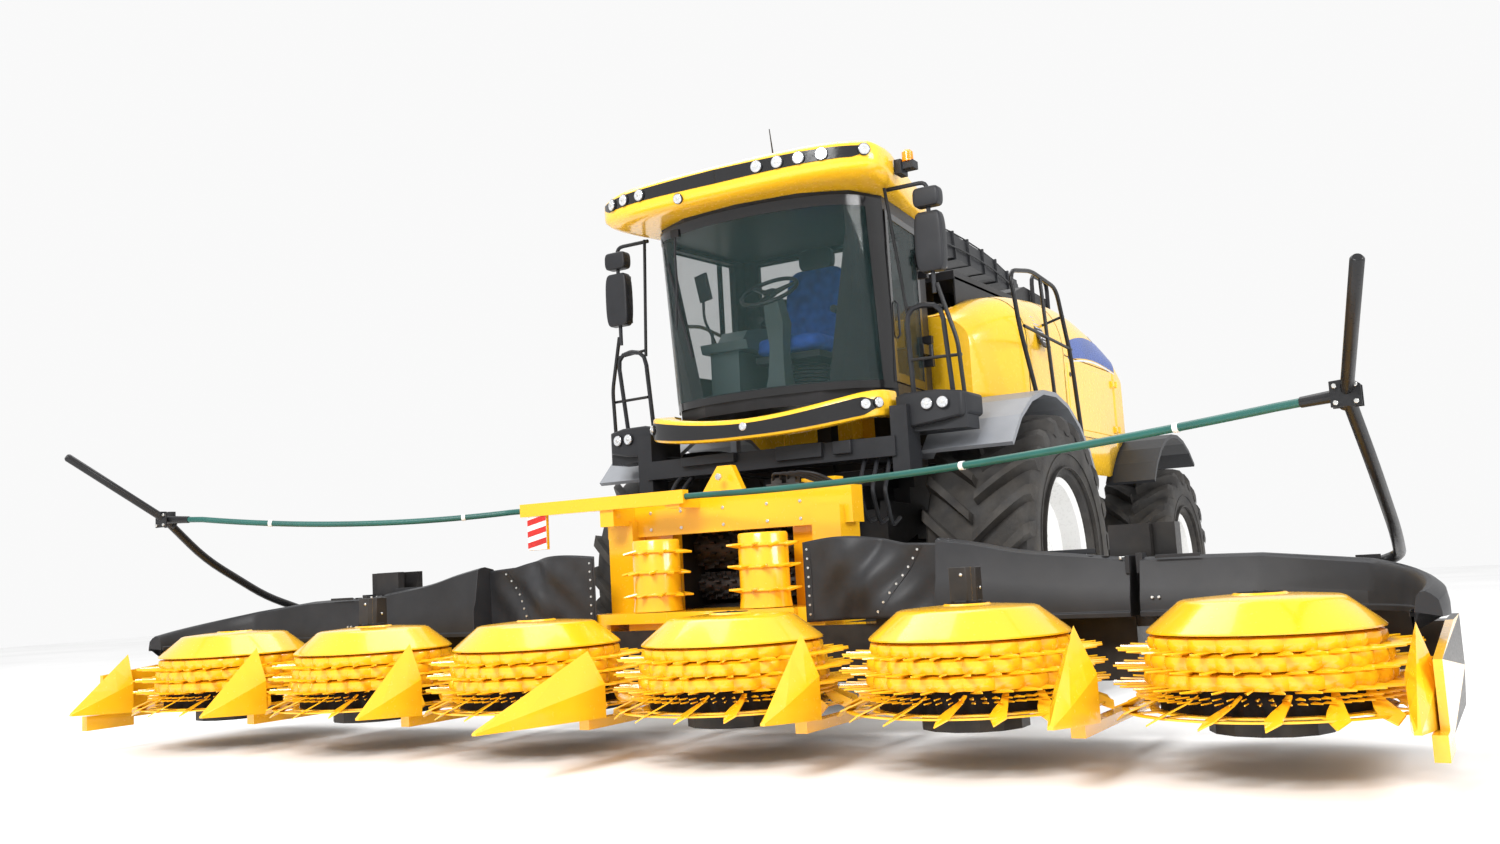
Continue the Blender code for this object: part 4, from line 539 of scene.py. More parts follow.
WINGS = ("inner_wing_left", "inner_wing_right", "outer_wing_left", "outer_wing_right")
HEAVY = ("main_frame", "front_axle", "rear_axle", "engine_block", "cutterhead_housing",
    "engine_deck", "spout_turret")
BARE = ("steering_knuckle_left", "steering_knuckle_right", "lift_cylinder_rod")
for nodes, paint, width in (
    (("centre_frame", "mouth_frame") + WINGS, YELLOW, 0.005),
    (HEAVY, BLACK, 0.006),
    (BARE, STEEL, 0.003),
    (("lift_cylinder_barrel",), BLACK, 0.003),
    (("feeder_housing", "cab_frame"), BLACK, 0.004),
    (("spout_flap",), BLACK, 0.002),
):
    for node in nodes:
        dress(node, paint, width)
print("painted", len(HEAVY) + len(BARE) + len(WINGS) + 6, "parts of the model")

# %% [markdown]
# Two upright drums turn the crop from both sides into the mouth. Each has three rings of broad
# flat teeth and a dark cap. Behind them, two rolls with rows of short bars pull the crop mat into
# the machine.

# %% Feed drums and rolls
for side, label in SIDES:
    centre = middle(f"feed_drum_{label}")
    low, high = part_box(f"feed_drum_{label}")
    body = turned([(0.052, low.z + 0.003), (0.150, low.z + 0.003), (0.142, low.z + 0.06),
            (0.142, high.z - 0.012), (0.135, high.z), (0.110, high.z), (0.104, high.z - 0.008),
            (0.052, high.z - 0.008)], ORIGIN, sides=48, loop=True)
    teeth = []
    for k, z in enumerate((1.05, 0.93, 0.80)):
        teeth += around(tooth(0.13, 0.209, z, 0.062, 0.020 * side, 0.012), 9, k * 0.3)
        teeth.append(turned([(0.13, z - 0.012), (0.158, z - 0.005), (0.158, z + 0.005),
                    (0.13, z + 0.012)], ORIGIN, sides=36, loop=True))
    cap = disc((0, 0, high.z - 0.012), (0, 0, 1), 0.106, 0.006, 36)
    spot = shift((centre.x, centre.y, 0))
    shapes = [moved(s, spot) for s in [body] + teeth]
    piece(f"drum_{label}", f"feed_drum_{label}", [(YELLOW, shapes), (NEAR_BLACK_AND_SHADE, [moved(cap, spot)])],
        bevel=0.002, stands_for=(f"feed_drum_{label}",))

for label in ("upper", "lower"):
    low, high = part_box(f"feed_roll_{label}")
    centre, radius = (low + high) / 2, (high.z - low.z) / 2
    core = turned([(0.031, low.x), (radius - 0.03, low.x), (radius - 0.03, high.x),
            (0.031, high.x)], ORIGIN, "X", 36, loop=True)
    bars = []
    for i in range(10):
        for k in range(14):
            x = low.x + (high.x - low.x) * (k + 0.5) / 14
            bar = block((x - 0.018, -0.007, radius - 0.036), (x + 0.018, 0.007, radius - 0.002))
            bars.append(moved(bar, spin(tau * (i + 0.5 * (k % 2)) / 10, "X")))
    spot = shift((0, centre.y, centre.z))
    piece(f"roll_{label}", f"feed_roll_{label}",
        [(DARK_STEEL, [moved(s, spot) for s in [core] + bars])], bevel=0.002,
        stands_for=(f"feed_roll_{label}",))

# %% [markdown]
# The black covers behind the rotors are moulded shells. A few cross sections are given and
# Catmull-Rom curves fill in the rows between them, which keeps the top flowing where straight
# steps would show.

# %% Moulded covers
COVER_FRONT, COVER_LOW = at(0.466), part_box("inner_cover_left")[0].z


def flowing(rows, steps=5):
    """Rows of numbers or points with curved steps put between them."""
    out = []
    for i in range(len(rows) - 1):
        a, b, c, d = rows[max(i - 1, 0)], rows[i], rows[i + 1], rows[min(i + 2, len(rows) - 1)]
        for s in range(steps):
            t = s / steps
            out.append([0.5 * (2 * q + (r - p) * t + (2 * p - 5 * q + 4 * r - v) * t * t
                        + (3 * q - p - 3 * r + v) * t ** 3) for p, q, r, v in zip(a, b, c, d)])
    return out + [list(rows[-1])]


def cover_ring(x, back, crown, lip):
    f, b = COVER_FRONT, at(back)
    return [(x, f, COVER_LOW + 0.004), (x, f - 0.004, COVER_LOW + 0.004),
        (x, f - 0.004, COVER_LOW + 0.026), (x, f + 0.006, COVER_LOW + 0.032),
        (x, f + 0.010, lip - 0.03), (x, f + 0.03, lip + 0.02), (x, f + 0.06, crown - 0.012),
        (x, f + 0.09, crown), (x, (f + b) / 2, crown + 0.004), (x, b - 0.05, crown - 0.012),
        (x, b - 0.012, crown - 0.05), (x, b, crown - 0.10), (x, b, COVER_LOW + 0.004)]


# %% [markdown]
# The cover on the inner wing is straight and steps down twice. The outer one starts straight,
# then its sections are turned about the last rotor's axis, so that it wraps round the end of the
# header.

# %% Covers in place
for side, label in SIDES:
    near = flowing([(1.52, 0.718, 1.02, 0.80), (1.72, 0.718, 0.985, 0.79),
            (1.95, 0.718, 0.935, 0.76), (2.28, 0.655, 0.895, 0.73), (2.478, 0.655, 0.87, 0.72)])
    shell = rings([cover_ring(*row) for row in near])
    trim = [block((2.462, at(0.50), 0.80), (2.482, at(0.645), 0.884)), block((1.95, at(0.60), 0.90),
            (2.30, at(0.612), 0.925))]
    bolts = [disc((2.44, at(0.52 + 0.045 * k), 0.868), (0, 0, 1), 0.009, 0.012, 8)
        for k in range(3)]
    # Dark discs in the cover's oval holes: painted shade.
    ovals = [disc((2.36 - 0.07 * k, at(0.56), 0.874 + 0.004 * k), (0, 0, 1), 0.020, 0.0125, 20)
        for k in range(2)]
    piece(f"wing_cover_{label}", f"inner_wing_{label}", [(MOULDED, sided(side, [shell] + trim)),
            (ZINC, sided(side, bolts)), (NEAR_BLACK_AND_SHADE, sided(side, ovals))], bevel=0.005,
        stands_for=(f"inner_cover_{label}",))

    straight = flowing([(2.522, 0.655, 0.87, 0.72), (2.75, 0.655, 0.868, 0.71),
            (3.05, 0.718, 0.862, 0.70)])
    rows = [cover_ring(*row) for row in straight]
    centre = Vector((2.5 * PITCH, ROTOR_Y, 0))
    for k in range(17):
        angle = radians(52 - 66 * k / 16)
        drop, inner, outer = 0.0018 * 66 * k / 16, 0.56, 0.672
        line = [(inner, COVER_LOW + 0.004), (inner - 0.004, COVER_LOW + 0.004),
            (inner - 0.004, COVER_LOW + 0.026), (inner + 0.003, COVER_LOW + 0.032),
            (inner + 0.006, 0.685 - drop), (inner + 0.014, 0.745 - drop),
            (inner + 0.026, 0.800 - drop), (inner + 0.040, 0.815 - drop),
            (inner + 0.06, 0.818 - drop), (outer - 0.03, 0.806 - drop),
            (outer - 0.008, 0.785 - drop), (outer, 0.74 - drop), (outer, COVER_LOW + 0.004)]
        rows.append([centre + Vector((r * cos(angle), r * sin(angle), z)) for r, z in line])
    latch = [block((2.505, at(0.53), 0.80), (2.535, at(0.62), 0.892)),
        block((2.60, at(0.50), 0.866), (2.80, at(0.508), 0.880))]
    bolts = [disc((2.58 + 0.03 * k, at(0.475), 0.69), (0, -1, 0), 0.007, 0.010, 8)
        for k in range(2)]
    # Dark discs in the cover's oval holes: painted shade.
    ovals = [disc((2.62 + 0.075 * k, at(0.575), 0.8665), (0, 0, 1), 0.021, 0.0095, 20)
        for k in range(2)]
    piece(f"end_cover_{label}", f"outer_wing_{label}",
        [(MOULDED, sided(side, [rings(rows)] + latch)), (ZINC, sided(side, bolts)),
            (NEAR_BLACK_AND_SHADE, sided(side, ovals))], bevel=0.005,
        stands_for=(f"outer_cover_{label}",))

# %% [markdown]
# Between the mouth and each cover hangs a sheet of coated cloth. A grid of points carries its
# creases as small waves, and a riveted band runs along each end; the band at the mouth rides on
# the header.

# %% Canvas sheets with riveted bands
CANVAS = finish("coated_canvas", (0.020, 0.021, 0.024), 0.40, mottle=0.2, scale=7, bump=0.35,
    grain=520, dust=0.05, dust_top=1.4)
SHEET_X0, SHEET_X1, SHEET_Y = 0.705, 1.545, at(0.640)


def sheet_point(u, v):
    """u runs from the mouth to the cover, v from the bottom up."""
    x = SHEET_X0 + (SHEET_X1 - SHEET_X0) * u
    low = 0.618 + 0.010 * sin(3 * u)
    top = 1.045 + 0.035 * sin(pi * min(1, u * 1.4)) - 0.05 * u
    crease = 0.030 * sin(7.5 * u + 3.2 * v) * sin(pi * u) + 0.015 * sin(19 * u - 9 * v) * sin(
        pi * v) * sin(pi * u)
    sag = 0.018 * exp(-((u - 0.52) / 0.10) ** 2) * v + 0.012 * exp(
        -((u - 0.30 - 0.25 * v) / 0.05) ** 2)
    return Vector((x, SHEET_Y + crease + sag - 0.03 * sin(pi * u), low + (top - low) * v))


def riveted_band(u0, v0, u1, v1, count):
    studs, rows = [], []
    for i in range(13):
        t = i / 12
        p = sheet_point(u0 + (u1 - u0) * t, v0 + (v1 - v0) * t)
        rows.append([p + Vector((-0.017, -0.005, 0)), p + Vector((0.017, -0.005, 0)),
                p + Vector((0.017, 0.004, 0)), p + Vector((-0.017, 0.004, 0))])
    for i in range(count):
        t = (i + 0.5) / count
        p = sheet_point(u0 + (u1 - u0) * t, v0 + (v1 - v0) * t)
        studs.append(disc(p + Vector((0, -0.005, 0)), (0, -1, 0), 0.0065, 0.005, 10))
    return rings(rows), studs


# %% [markdown]
# The riveted band by the cover rides on no body, like the sheet under it; both have their place
# baked into their points.

# %% Canvas in place
for side, label in SIDES:
    across, up = 64, 28
    points = [sheet_point(i / across, j / up) for j in range(up + 1) for i in range(across + 1)]
    faces = [(j * (across + 1) + i, j * (across + 1) + i + 1, (j + 1) * (across + 1) + i + 1,
            (j + 1) * (across + 1) + i) for j in range(up) for i in range(across)]
    cloth = piece(f"canvas_sheet_{label}", None, [(CANVAS, [on_side(side, (points, faces))])],
        crease=60, stands_for=(f"canvas_{label}",))
    thick = cloth.modifiers.new("thickness", "SOLIDIFY")
    thick.thickness, thick.offset = 0.003, 0
    bands = []
    for name, body, ends in (("mouth", "header", (0.035, 0.04, 0.035, 0.96)),
        ("cover", None, (0.52, 0.03, 0.82, 0.97))):
        strip, studs = riveted_band(*ends, 8)
        bands.append(piece(f"canvas_band_{name}_{label}", body, [(CANVAS, [on_side(side, strip)]),
                    (ZINC, sided(side, studs))]))
    for soft in (cloth, bands[1]):
        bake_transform(soft)

# %% [markdown]
# Bowed posts on the outer wings carry long green hoses that push tall crop into the header. A
# post is one bar bent to shape, with two clamp plates where the raised tip and the hose's stub
# meet.

# %% Guide posts
CLAMP = Vector((3.54, at(-0.20), 1.45))
TIP = Vector((3.68, at(-0.79), 1.85))
STUB = Vector((-0.17, 0.05, -0.01))
BAR = finish("black_satin_bar", (0.012, 0.012, 0.013), 0.32, mottle=0.15, scale=9, bump=0.05)
for satin in (CANVAS, BAR):
    set_socket(satin, "Specular IOR Level", 0.3)
for side, label in SIDES:
    y = at(0.90)
    bow = tube([(3.45, y, 0.78), (3.575, y, 0.82), (3.59, y - 0.28, 0.92), (3.575, at(0.12), 1.19),
            CLAMP], 0.026, 16, 0.16)
    tip = tube([CLAMP - (TIP - CLAMP) * 0.10, CLAMP + (TIP - CLAMP) * 0.5,
            TIP - (TIP - CLAMP).normalized() * 0.012, TIP], [0.025, 0.025, 0.025, 0.017], 16)
    stub = tube([CLAMP, CLAMP + STUB * 0.5, CLAMP + STUB], [0.026, 0.024, 0.022], 16)
    eye = tube([(3.45, at(0.868), 0.78), (3.45, at(0.934), 0.78)], 0.05, 20)
    plates = [moved(prism([(-0.055, -0.05), (0.055, -0.05), (0.055, 0.03), (0.02, 0.055),
                    (-0.055, 0.05)], y0, y0 + 0.008, "Y"), shift(CLAMP)) for y0 in (-0.036, 0.028)]
    bolts = [disc(CLAMP + Vector((dx, -0.036, dz)), (0, -1, 0), 0.010, 0.012, 6)
        for dx in (-0.036, 0.036) for dz in (-0.034, 0.03)]
    piece(f"bowed_post_{label}", f"guide_post_{label}",
        [(BAR, sided(side, [bow, tip, stub, eye] + plates)), (ZINC, sided(side, bolts))],
        bevel=0.002, stands_for=(f"guide_post_{label}",))
    bracket = [tube([(3.45, at(0.858), 0.70), (3.45, at(0.858), 0.80)], 0.016, 12),
        block((3.42, at(0.845), 0.60), (3.48, at(0.862), 0.80))]
    piece(f"post_bracket_{label}", f"outer_wing_{label}", [(YELLOW, sided(side, bracket))],
        bevel=0.003)

# %% [markdown]
# A hose crosses three joints, so each hose is made as three lengths that meet under white band
# clamps. The lengths ride on no body; the clamps ride on the wings.

# %% Green hoses
GREEN = finish("green_hose_rubber", (0.006, 0.085, 0.070), 0.38, mottle=0.15, scale=4, bump=0.12,
    grain=240)
BAND = finish("white_band_clamp", (0.75, 0.75, 0.73), 0.35, mottle=0.05)
HOSE_R, SAG = 0.018, 0.05
POST_CUT, WING_CUT = 2.86, 1.72  # distances from the middle plane at which a hose is parted


def hose_line(side, end_x):
    """Points from the post's stub to the channel's end."""
    away = Vector((side * STUB.x, STUB.y, STUB.z)).normalized()
    begin = Vector((side * (CLAMP.x + STUB.x), CLAMP.y + STUB.y, CLAMP.z + STUB.z)) + away * 0.0003
    last = Vector((end_x + side * 0.0003, at(0.77), 1.36))
    first, end = begin + away * 0.1, last + Vector((side * 0.1, 0, 0))
    line = [begin]
    for step in range(41):
        t = step / 40
        spot = first.lerp(end, t)
        spot.z -= SAG * 4 * t * (1 - t)
        line.append(spot)
    return line + [last]


for side, label, end_x in ((1, "left", -0.12), (-1, "right", -1.35)):
    line = hose_line(side, end_x)
    cuts = {"post": (3.4, POST_CUT), "wing": (POST_CUT, WING_CUT),
        "mouth": (WING_CUT, side * end_x)}
    joints = {"post": (f"guide_post_{label}", f"outer_wing_{label}", 3.22, 2.95),
        "wing": (f"inner_wing_{label}", f"outer_wing_{label}", 2.30, 2.70),
        "mouth": ("header", f"inner_wing_{label}", 1.38 if side < 0 else 1.05, 1.62)}
    previous = None
    for part, (far, near) in cuts.items():
        run = [p for p in line if near - 1e-6 <= side * p.x <= far + 1e-6]
        if previous is not None:
            run = [previous] + run
        previous = run[-1]
        dense = [Vector(p) for p in run]
        hose = piece(f"hose_{part}_{label}", None, [(GREEN, [tube(dense, HOSE_R, 16)])],
            stands_for=(f"guide_hose_{label}",) if part == "wing" else ())
        a, b, x0, x1 = joints[part]
        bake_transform(hose)
        bands = []
        if part != "mouth":
            along = (run[-1] - run[-2]).normalized()
            band = tube([run[-1] - along * 0.012, run[-1] + along * 0.012], HOSE_R + 0.003, 20)
            bands = [piece(f"hose_band_{part}_{label}", f"outer_wing_{label}" if part == "post"
                    else f"inner_wing_{label}", [(BAND, [band])])]

# %% [markdown]
# A farm tyre is a smooth carcass with two rows of tall slanting lugs that meet in a V. The
# carcass is turned, and one lug is built along a slanting line across the tread, then copied
# round for each side.

# %% Wheels
def lug(side, radius, half, turn):
    rows = []
    for t, fall in ((0.0, 0.0), (0.25, 0.002), (0.5, 0.006), (0.75, 0.014), (0.92, 0.028),
        (1.0, 0.060), (1.06, 0.110)):
        x = side * (0.012 + (half * 0.985 - 0.012) * min(t, 1.0) + (0.006 if t > 1 else 0))
        angle = turn * t
        top, base = radius - fall, radius - 0.098 - fall * 0.5
        wide = (0.030 + 0.012 * t) / radius
        rows.append([(x, r * sin(angle + w), r * cos(angle + w)) for r, w in ((base, -wide * 1.25),
                    (top, -wide * 0.85), (top, wide * 0.85), (base, wide * 1.25))])
    shape = rings(rows)
    return shape if side > 0 else (shape[0], [tuple(reversed(f)) for f in shape[1]])


def tyre(radius, rim, half, lugs, turn):
    deep = radius - rim
    wall = [(rim, 0.80), (rim + 0.02, 0.90), (rim + deep * 0.38, 0.985), (rim + deep * 0.55, 1.0),
        (radius - 0.13, 0.975), (radius - 0.095, 0.90), (radius - 0.082, 0.75),
        (radius - 0.076, 0.4)]
    carcass = [(r, -half * share) for r, share in wall] + [(radius - 0.074, 0)]
    carcass += [(r, half * share) for r, share in reversed(wall)]
    shapes = [turned(carcass, ORIGIN, "X", 96, loop=True)]
    for side in (1, -1):
        for k in range(lugs):
            shapes.append(moved(lug(side, radius, half, turn),
                    spin(tau * (k + (0.5 if side < 0 else 0)) / lugs, "X")))
        for r in (rim + 0.05, rim + 0.14):
            shapes.append(turned([(r, side * half * 0.93), (r + 0.012, side * half * 0.93),
                        (r + 0.010, side * half * 1.0), (r + 0.002, side * half * 1.0)][:: 1
                        if side > 0 else -1], ORIGIN, "X", 72, loop=True))
    return shapes


# %% [markdown]
# A rim is a turned barrel with a dished centre and a hub, all from profiles of radius and width.
# Ten nuts hold the dish, ten smaller ones the hub, and a valve stem pokes out beside them.

# %% Rims, and the wheels put together
def rim_shapes(rim, half, out):
    """White rim with its dished centre towards out, +1 or -1 along X."""
    o = out * half
    outside = [(rim + 0.012, 0.82), (rim + 0.018, 0.76), (rim - 0.02, 0.70), (rim - 0.045, 0.3)]
    inside = [(rim - 0.03, 0.72), (rim - 0.06, 0.3)]
    barrel = [(r, -half * share) for r, share in outside] + [(r, half * share)
        for r, share in reversed(outside)]
    barrel += [(r, half * share) for r, share in inside] + [(r, -half * share)
        for r, share in reversed(inside)]
    dish = [(rim - 0.05, o * 0.30), (rim * 0.78, o * 0.42), (rim * 0.62, o * 0.38),
        (rim * 0.50, o * 0.26), (0.0, o * 0.26), (0.0, o * 0.20), (rim * 0.50, o * 0.20),
        (rim * 0.62, o * 0.32), (rim * 0.78, o * 0.36), (rim - 0.05, o * 0.24)]
    hub = [(0.0, o * 0.50), (rim * 0.20, o * 0.50), (rim * 0.27, o * 0.44), (rim * 0.30, o * 0.26),
        (0.0, o * 0.26)]
    shapes = [turned([(max(r, 0.001), h) for r, h in profile], ORIGIN, "X", sides, loop=True)
        for profile, sides in ((barrel, 72), (dish, 72), (hub, 48))]
    nuts = []
    for i in range(10):
        angle = tau * i / 10
        nuts.append(disc((o * 0.26, rim * 0.41 * cos(angle), rim * 0.41 * sin(angle)), (out, 0, 0),
                0.017, 0.030, 6))
        nuts.append(disc((o * 0.45, rim * 0.19 * cos(angle), rim * 0.19 * sin(angle)), (out, 0, 0),
                0.010, 0.014, 6))
    nuts.append(tube([(o * 0.40, rim * 0.8, 0), (o * 0.62, rim * 0.84, 0)], 0.007, 8))
    return shapes, nuts


LUG_SWEEP = 0.34  # radians that a lug runs round the tread
for axle, rim, lugs in (("front", 0.49, 22), ("rear", 0.40, 20)):
    for side, label in SIDES:
        node = f"{axle}_wheel_{label}"
        low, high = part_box(node)
        centre, radius, half = (low + high) / 2, (high.z - low.z) / 2, (high.x - low.x) / 2
        discs, nuts = rim_shapes(rim, half, side)
        groups = [(RUBBER, tyre(radius, rim, half, lugs, LUG_SWEEP)), (RIM, discs), (ZINC, nuts)]
        made = piece(f"{axle}_tyre_{label}", None, groups, crease=30, stands_for=(node,))
        made.matrix_world = shift(centre)
        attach(made, node)
print("wheels made, rear radius", round(radius, 3))

# %% [markdown]
# The cab's glass is one bent windscreen with flat panes beside and behind. Control points follow
# the cab's plan at each height, curves run through them, and black borders hide the glued edges
# as on real cabs.

# %% Cab glass and door
GLASS = finish("smoked_glass", (0.020, 0.045, 0.045), 0.04, mottle=0.0, bump=0.0)
set_socket(GLASS, "Alpha", 0.22)
FRIT = finish("glass_border", (0.008, 0.008, 0.009), 0.16, mottle=0.1)
LENS = finish("lamp_lens", (0.78, 0.80, 0.82), 0.10, metallic=0.75, mottle=0.1, scale=60, bump=0.25,
    grain=160)
CHROME = finish("bright_trim", (0.72, 0.72, 0.74), 0.14, metallic=1.0, mottle=0.08)
AMBER = finish("amber_lens", (0.85, 0.26, 0.01), 0.12, mottle=0.15, scale=30, bump=0.2)


def screen_line(z, grow):
    lean = 0.11 * (z - 2.6)
    half = [(0.0, -lean - 0.04 - grow), (0.22, -lean - 0.03 - grow), (0.42, -lean + 0.01 - grow),
        (0.60, -lean + 0.075 - grow), (0.70 + grow * 0.8, -lean + 0.16 - grow * 0.7),
        (0.765 + grow, -lean * 0.8 + 0.26), (0.798 + grow, 0.348 - lean * 0.5)]
    line = [(-x, y) for x, y in reversed(half[1:])] + half
    return [(x, CAB_FRONT + y) for x, y in flowing(line, 4)]


def screen_y(x, z):
    return min(screen_line(z, 0.008), key=lambda p: abs(p[0] - x))[1]


def pane(levels, outer, inner, first=0, last=None):
    rows = []
    for z in levels:
        a, b = screen_line(z, outer)[first:last], screen_line(z, inner)[first:last]
        rows.append([(x, y, z) for x, y in a] + [(x, y, z) for x, y in reversed(b)])
    return rings(rows)


def slab(p, q, low, high, out, thick):
    """Flat pane from p to q in plan, its outer face moved out by out."""
    a, b = Vector(p), Vector(q)
    n = Vector(((b - a).y, -(b - a).x)).normalized()
    return rings([[(*(a + n * out), z), (*(b + n * out), z), (*(b + n * (out - thick)), z),
                (*(a + n * (out - thick)), z)] for z in (low, high)])


GLUE_OUT, PANE_OUT, GLASS_TOP = 0.0095, 0.008, 3.165
tall = [1.985, 2.15, 2.3, 2.45, 2.6, 2.75, 2.9, 3.05, 3.168]
right_pane = ((-0.722, CAB_REAR - 0.03), (-0.800, CAB_FRONT + 0.40))
rear_pane = ((0.70, CAB_REAR), (-0.70, CAB_REAR))
glass = [pane(tall, 0.008, 0.003), slab(*right_pane, 2.0, GLASS_TOP, PANE_OUT, 0.005),
    slab(*rear_pane, 2.32, GLASS_TOP, PANE_OUT, 0.005)]
piece("cab_glass", "chassis", [(GLASS, glass)], stands_for=("cab_glazing",))
border = [pane([3.105, 3.171], GLUE_OUT, PANE_OUT), pane([1.982, 2.03], GLUE_OUT, PANE_OUT),
    pane(tall, GLUE_OUT, 0.0082, 0, 6), pane(tall, GLUE_OUT, 0.0082, -6, None)]
border += [slab(*right_pane, z0, z1, GLUE_OUT, 0.0012) for z0, z1 in ((1.99, 2.25),
        (3.11, 3.17))] + [slab(*rear_pane, z0, z1, GLUE_OUT, 0.0012) for z0, z1 in ((2.31, 2.37),
        (3.11, 3.17))]
border += [slab((-0.744, CAB_FRONT + 0.93), (-0.750, CAB_FRONT + 0.87), 2.0, 3.165, 0.010, 0.0015)]
piece("cab_glass_border", "chassis", [(FRIT, border)])

wiper_z = [3.10, 2.95, 2.8, 2.65, 2.5]
arm = tube([(-0.50 - 0.02 * i, screen_y(-0.50 - 0.02 * i, z) - 0.022, z)
        for i, z in enumerate(wiper_z)], 0.007, 8)
blade = tube([(-0.62 + 0.03 * i, screen_y(-0.62 + 0.03 * i, 2.95 - 0.13 * i) - 0.012,
            2.95 - 0.13 * i) for i in range(6)], 0.008, 6)
piece("windscreen_wiper", "chassis",
    [(MOULDED, [arm, blade, block((-0.53, screen_y(-0.5, 3.1) - 0.03, 3.09),
                (-0.47, screen_y(-0.5, 3.1), 3.14))])])

# %% [markdown]
# The door is a pane between four dark bars with two hinge knuckles and a grip. It leans and
# narrows like the cab's side, so one function gives its outer face at any height.

# %% Cab door
DOOR_Y0, DOOR_Y1 = CAB_FRONT + 0.363, CAB_REAR - 0.163
DOOR_Z0, DOOR_Z1 = 2.023, 3.117


def door_x(y, z):
    front = CAB_FRONT + 0.38 - 0.055 * (z - 2.6)
    return 0.80 - 0.08 * (y - front) / (CAB_REAR - front)


def door_bar(y0, z0, y1, z1, out, depth):
    rows = []
    for y, z in ((y0, z0), (y1, z0), (y1, z1), (y0, z1)):
        x = door_x(y, z) + out
        rows.append(((x, y, z), (x - depth, y, z)))
    return rings([[r[0] for r in rows], [r[1] for r in rows]])


DOOR_EDGE = 0.045
BAR_OUT, BAR_DEPTH = 0.012, 0.036
frame_bars = [door_bar(DOOR_Y0, DOOR_Z0, DOOR_Y0 + DOOR_EDGE, DOOR_Z1, BAR_OUT, BAR_DEPTH),
    door_bar(DOOR_Y1 - DOOR_EDGE, DOOR_Z0, DOOR_Y1, DOOR_Z1, BAR_OUT, BAR_DEPTH),
    door_bar(DOOR_Y0 + DOOR_EDGE, DOOR_Z0, DOOR_Y1 - DOOR_EDGE, DOOR_Z0 + 0.06, BAR_OUT, BAR_DEPTH),
    door_bar(DOOR_Y0 + DOOR_EDGE, DOOR_Z1 - DOOR_EDGE, DOOR_Y1 - DOOR_EDGE, DOOR_Z1, BAR_OUT,
        BAR_DEPTH)]
hinge_x, hinge_y = 0.775, CAB_REAR - 0.125
for z in (2.25, 2.85):
    frame_bars += [tube([(hinge_x, hinge_y, z + 0.001), (hinge_x, hinge_y, z + 0.089)], 0.021, 16),
        block((door_x(DOOR_Y1, z) + 0.006, DOOR_Y1 - 0.09, z + 0.012),
            (hinge_x + 0.006, hinge_y - 0.012, z + 0.078))]
grip = tube([(door_x(DOOR_Y0 + 0.07, z) + o, DOOR_Y0 + 0.07, z)
        for z, o in ((2.30, 0.012), (2.32, 0.032), (2.52, 0.032), (2.54, 0.012))], 0.008, 10)
piece("door_glass_and_frame", "cab_door",
    [(FRIT, frame_bars),
        (GLASS, [door_bar(DOOR_Y0 + DOOR_EDGE - 0.004, DOOR_Z0 + 0.056, DOOR_Y1 - DOOR_EDGE + 0.004,
                DOOR_Z1 - DOOR_EDGE + 0.004, 0.008, 0.006)]), (MOULDED, [grip])],
    bevel=0.002, stands_for=("cab_door",))

# %% [markdown]
# Through the glass a driver's place shows: a sprung seat with crowned cushions, a steering
# column, a side console and a small screen on a bent arm. The cushions are soft boxes pulled
# round with a superellipse.

# %% Inside the cab
SEAT = finish("blue_seat_fabric", (0.012, 0.075, 0.36), 0.85, mottle=0.25, scale=18, bump=0.35,
    grain=420)
TRIM = finish("grey_green_trim", (0.055, 0.085, 0.088), 0.5, mottle=0.12, bump=0.12, grain=300)
FLOOR_Z = 1.985


def bend(value, power):
    return copysign(abs(value) ** power, value)


def cushion(low, high, power=0.35, across=36, up=18):
    centre, half = (Vector(low) + Vector(high)) / 2, (Vector(high) - Vector(low)) / 2
    rows = []
    for j in range(1, up):
        b = pi * j / up
        row = []
        for i in range(across):
            a = tau * i / across
            x = half.x * bend(sin(b), power) * bend(cos(a), power)
            y = half.y * bend(sin(b), power) * bend(sin(a), power)
            row.append(centre + Vector((x, y, -half.z * bend(cos(b), 0.75))))
        rows.append(row)
    return rings(rows)


# %% [markdown]
# A cushion of foam is fuller in its middle than at its corners. One subdivision smooths the grid
# that the superellipse gives, and a small turn about the seat's lower edge leans the back.

# %% Seat
def pad(name, low, high, material, lean=0.0):
    shape = moved(cushion(low, high), shift((0, high[1], low[2])) @ spin(lean, "X")
        @ shift((0, -high[1], -low[2])))
    made = piece(name, "chassis", [(material, [shape])], crease=60)
    soft = made.modifiers.new("smooth", "SUBSURF")
    soft.levels = soft.render_levels = 1
    return made


seat_y = CAB_REAR - 0.62
pad("seat_cushion", (-0.25, seat_y - 0.11, 2.31), (0.25, seat_y + 0.37, 2.445), SEAT)
pad("seat_backrest", (-0.24, seat_y + 0.345, 2.43), (0.24, seat_y + 0.475, 2.97), SEAT, lean=-0.06)
pad("seat_headrest", (-0.13, seat_y + 0.385, 2.955), (0.13, seat_y + 0.475, 3.115), MOULDED,
    lean=-0.04)
# %% [markdown]
# The rest of the driver's place is hard plastic: a bellows of stacked rings under the seat, two
# armrests, a console, a pillar with a tilted wheel, and a screen on its arm.

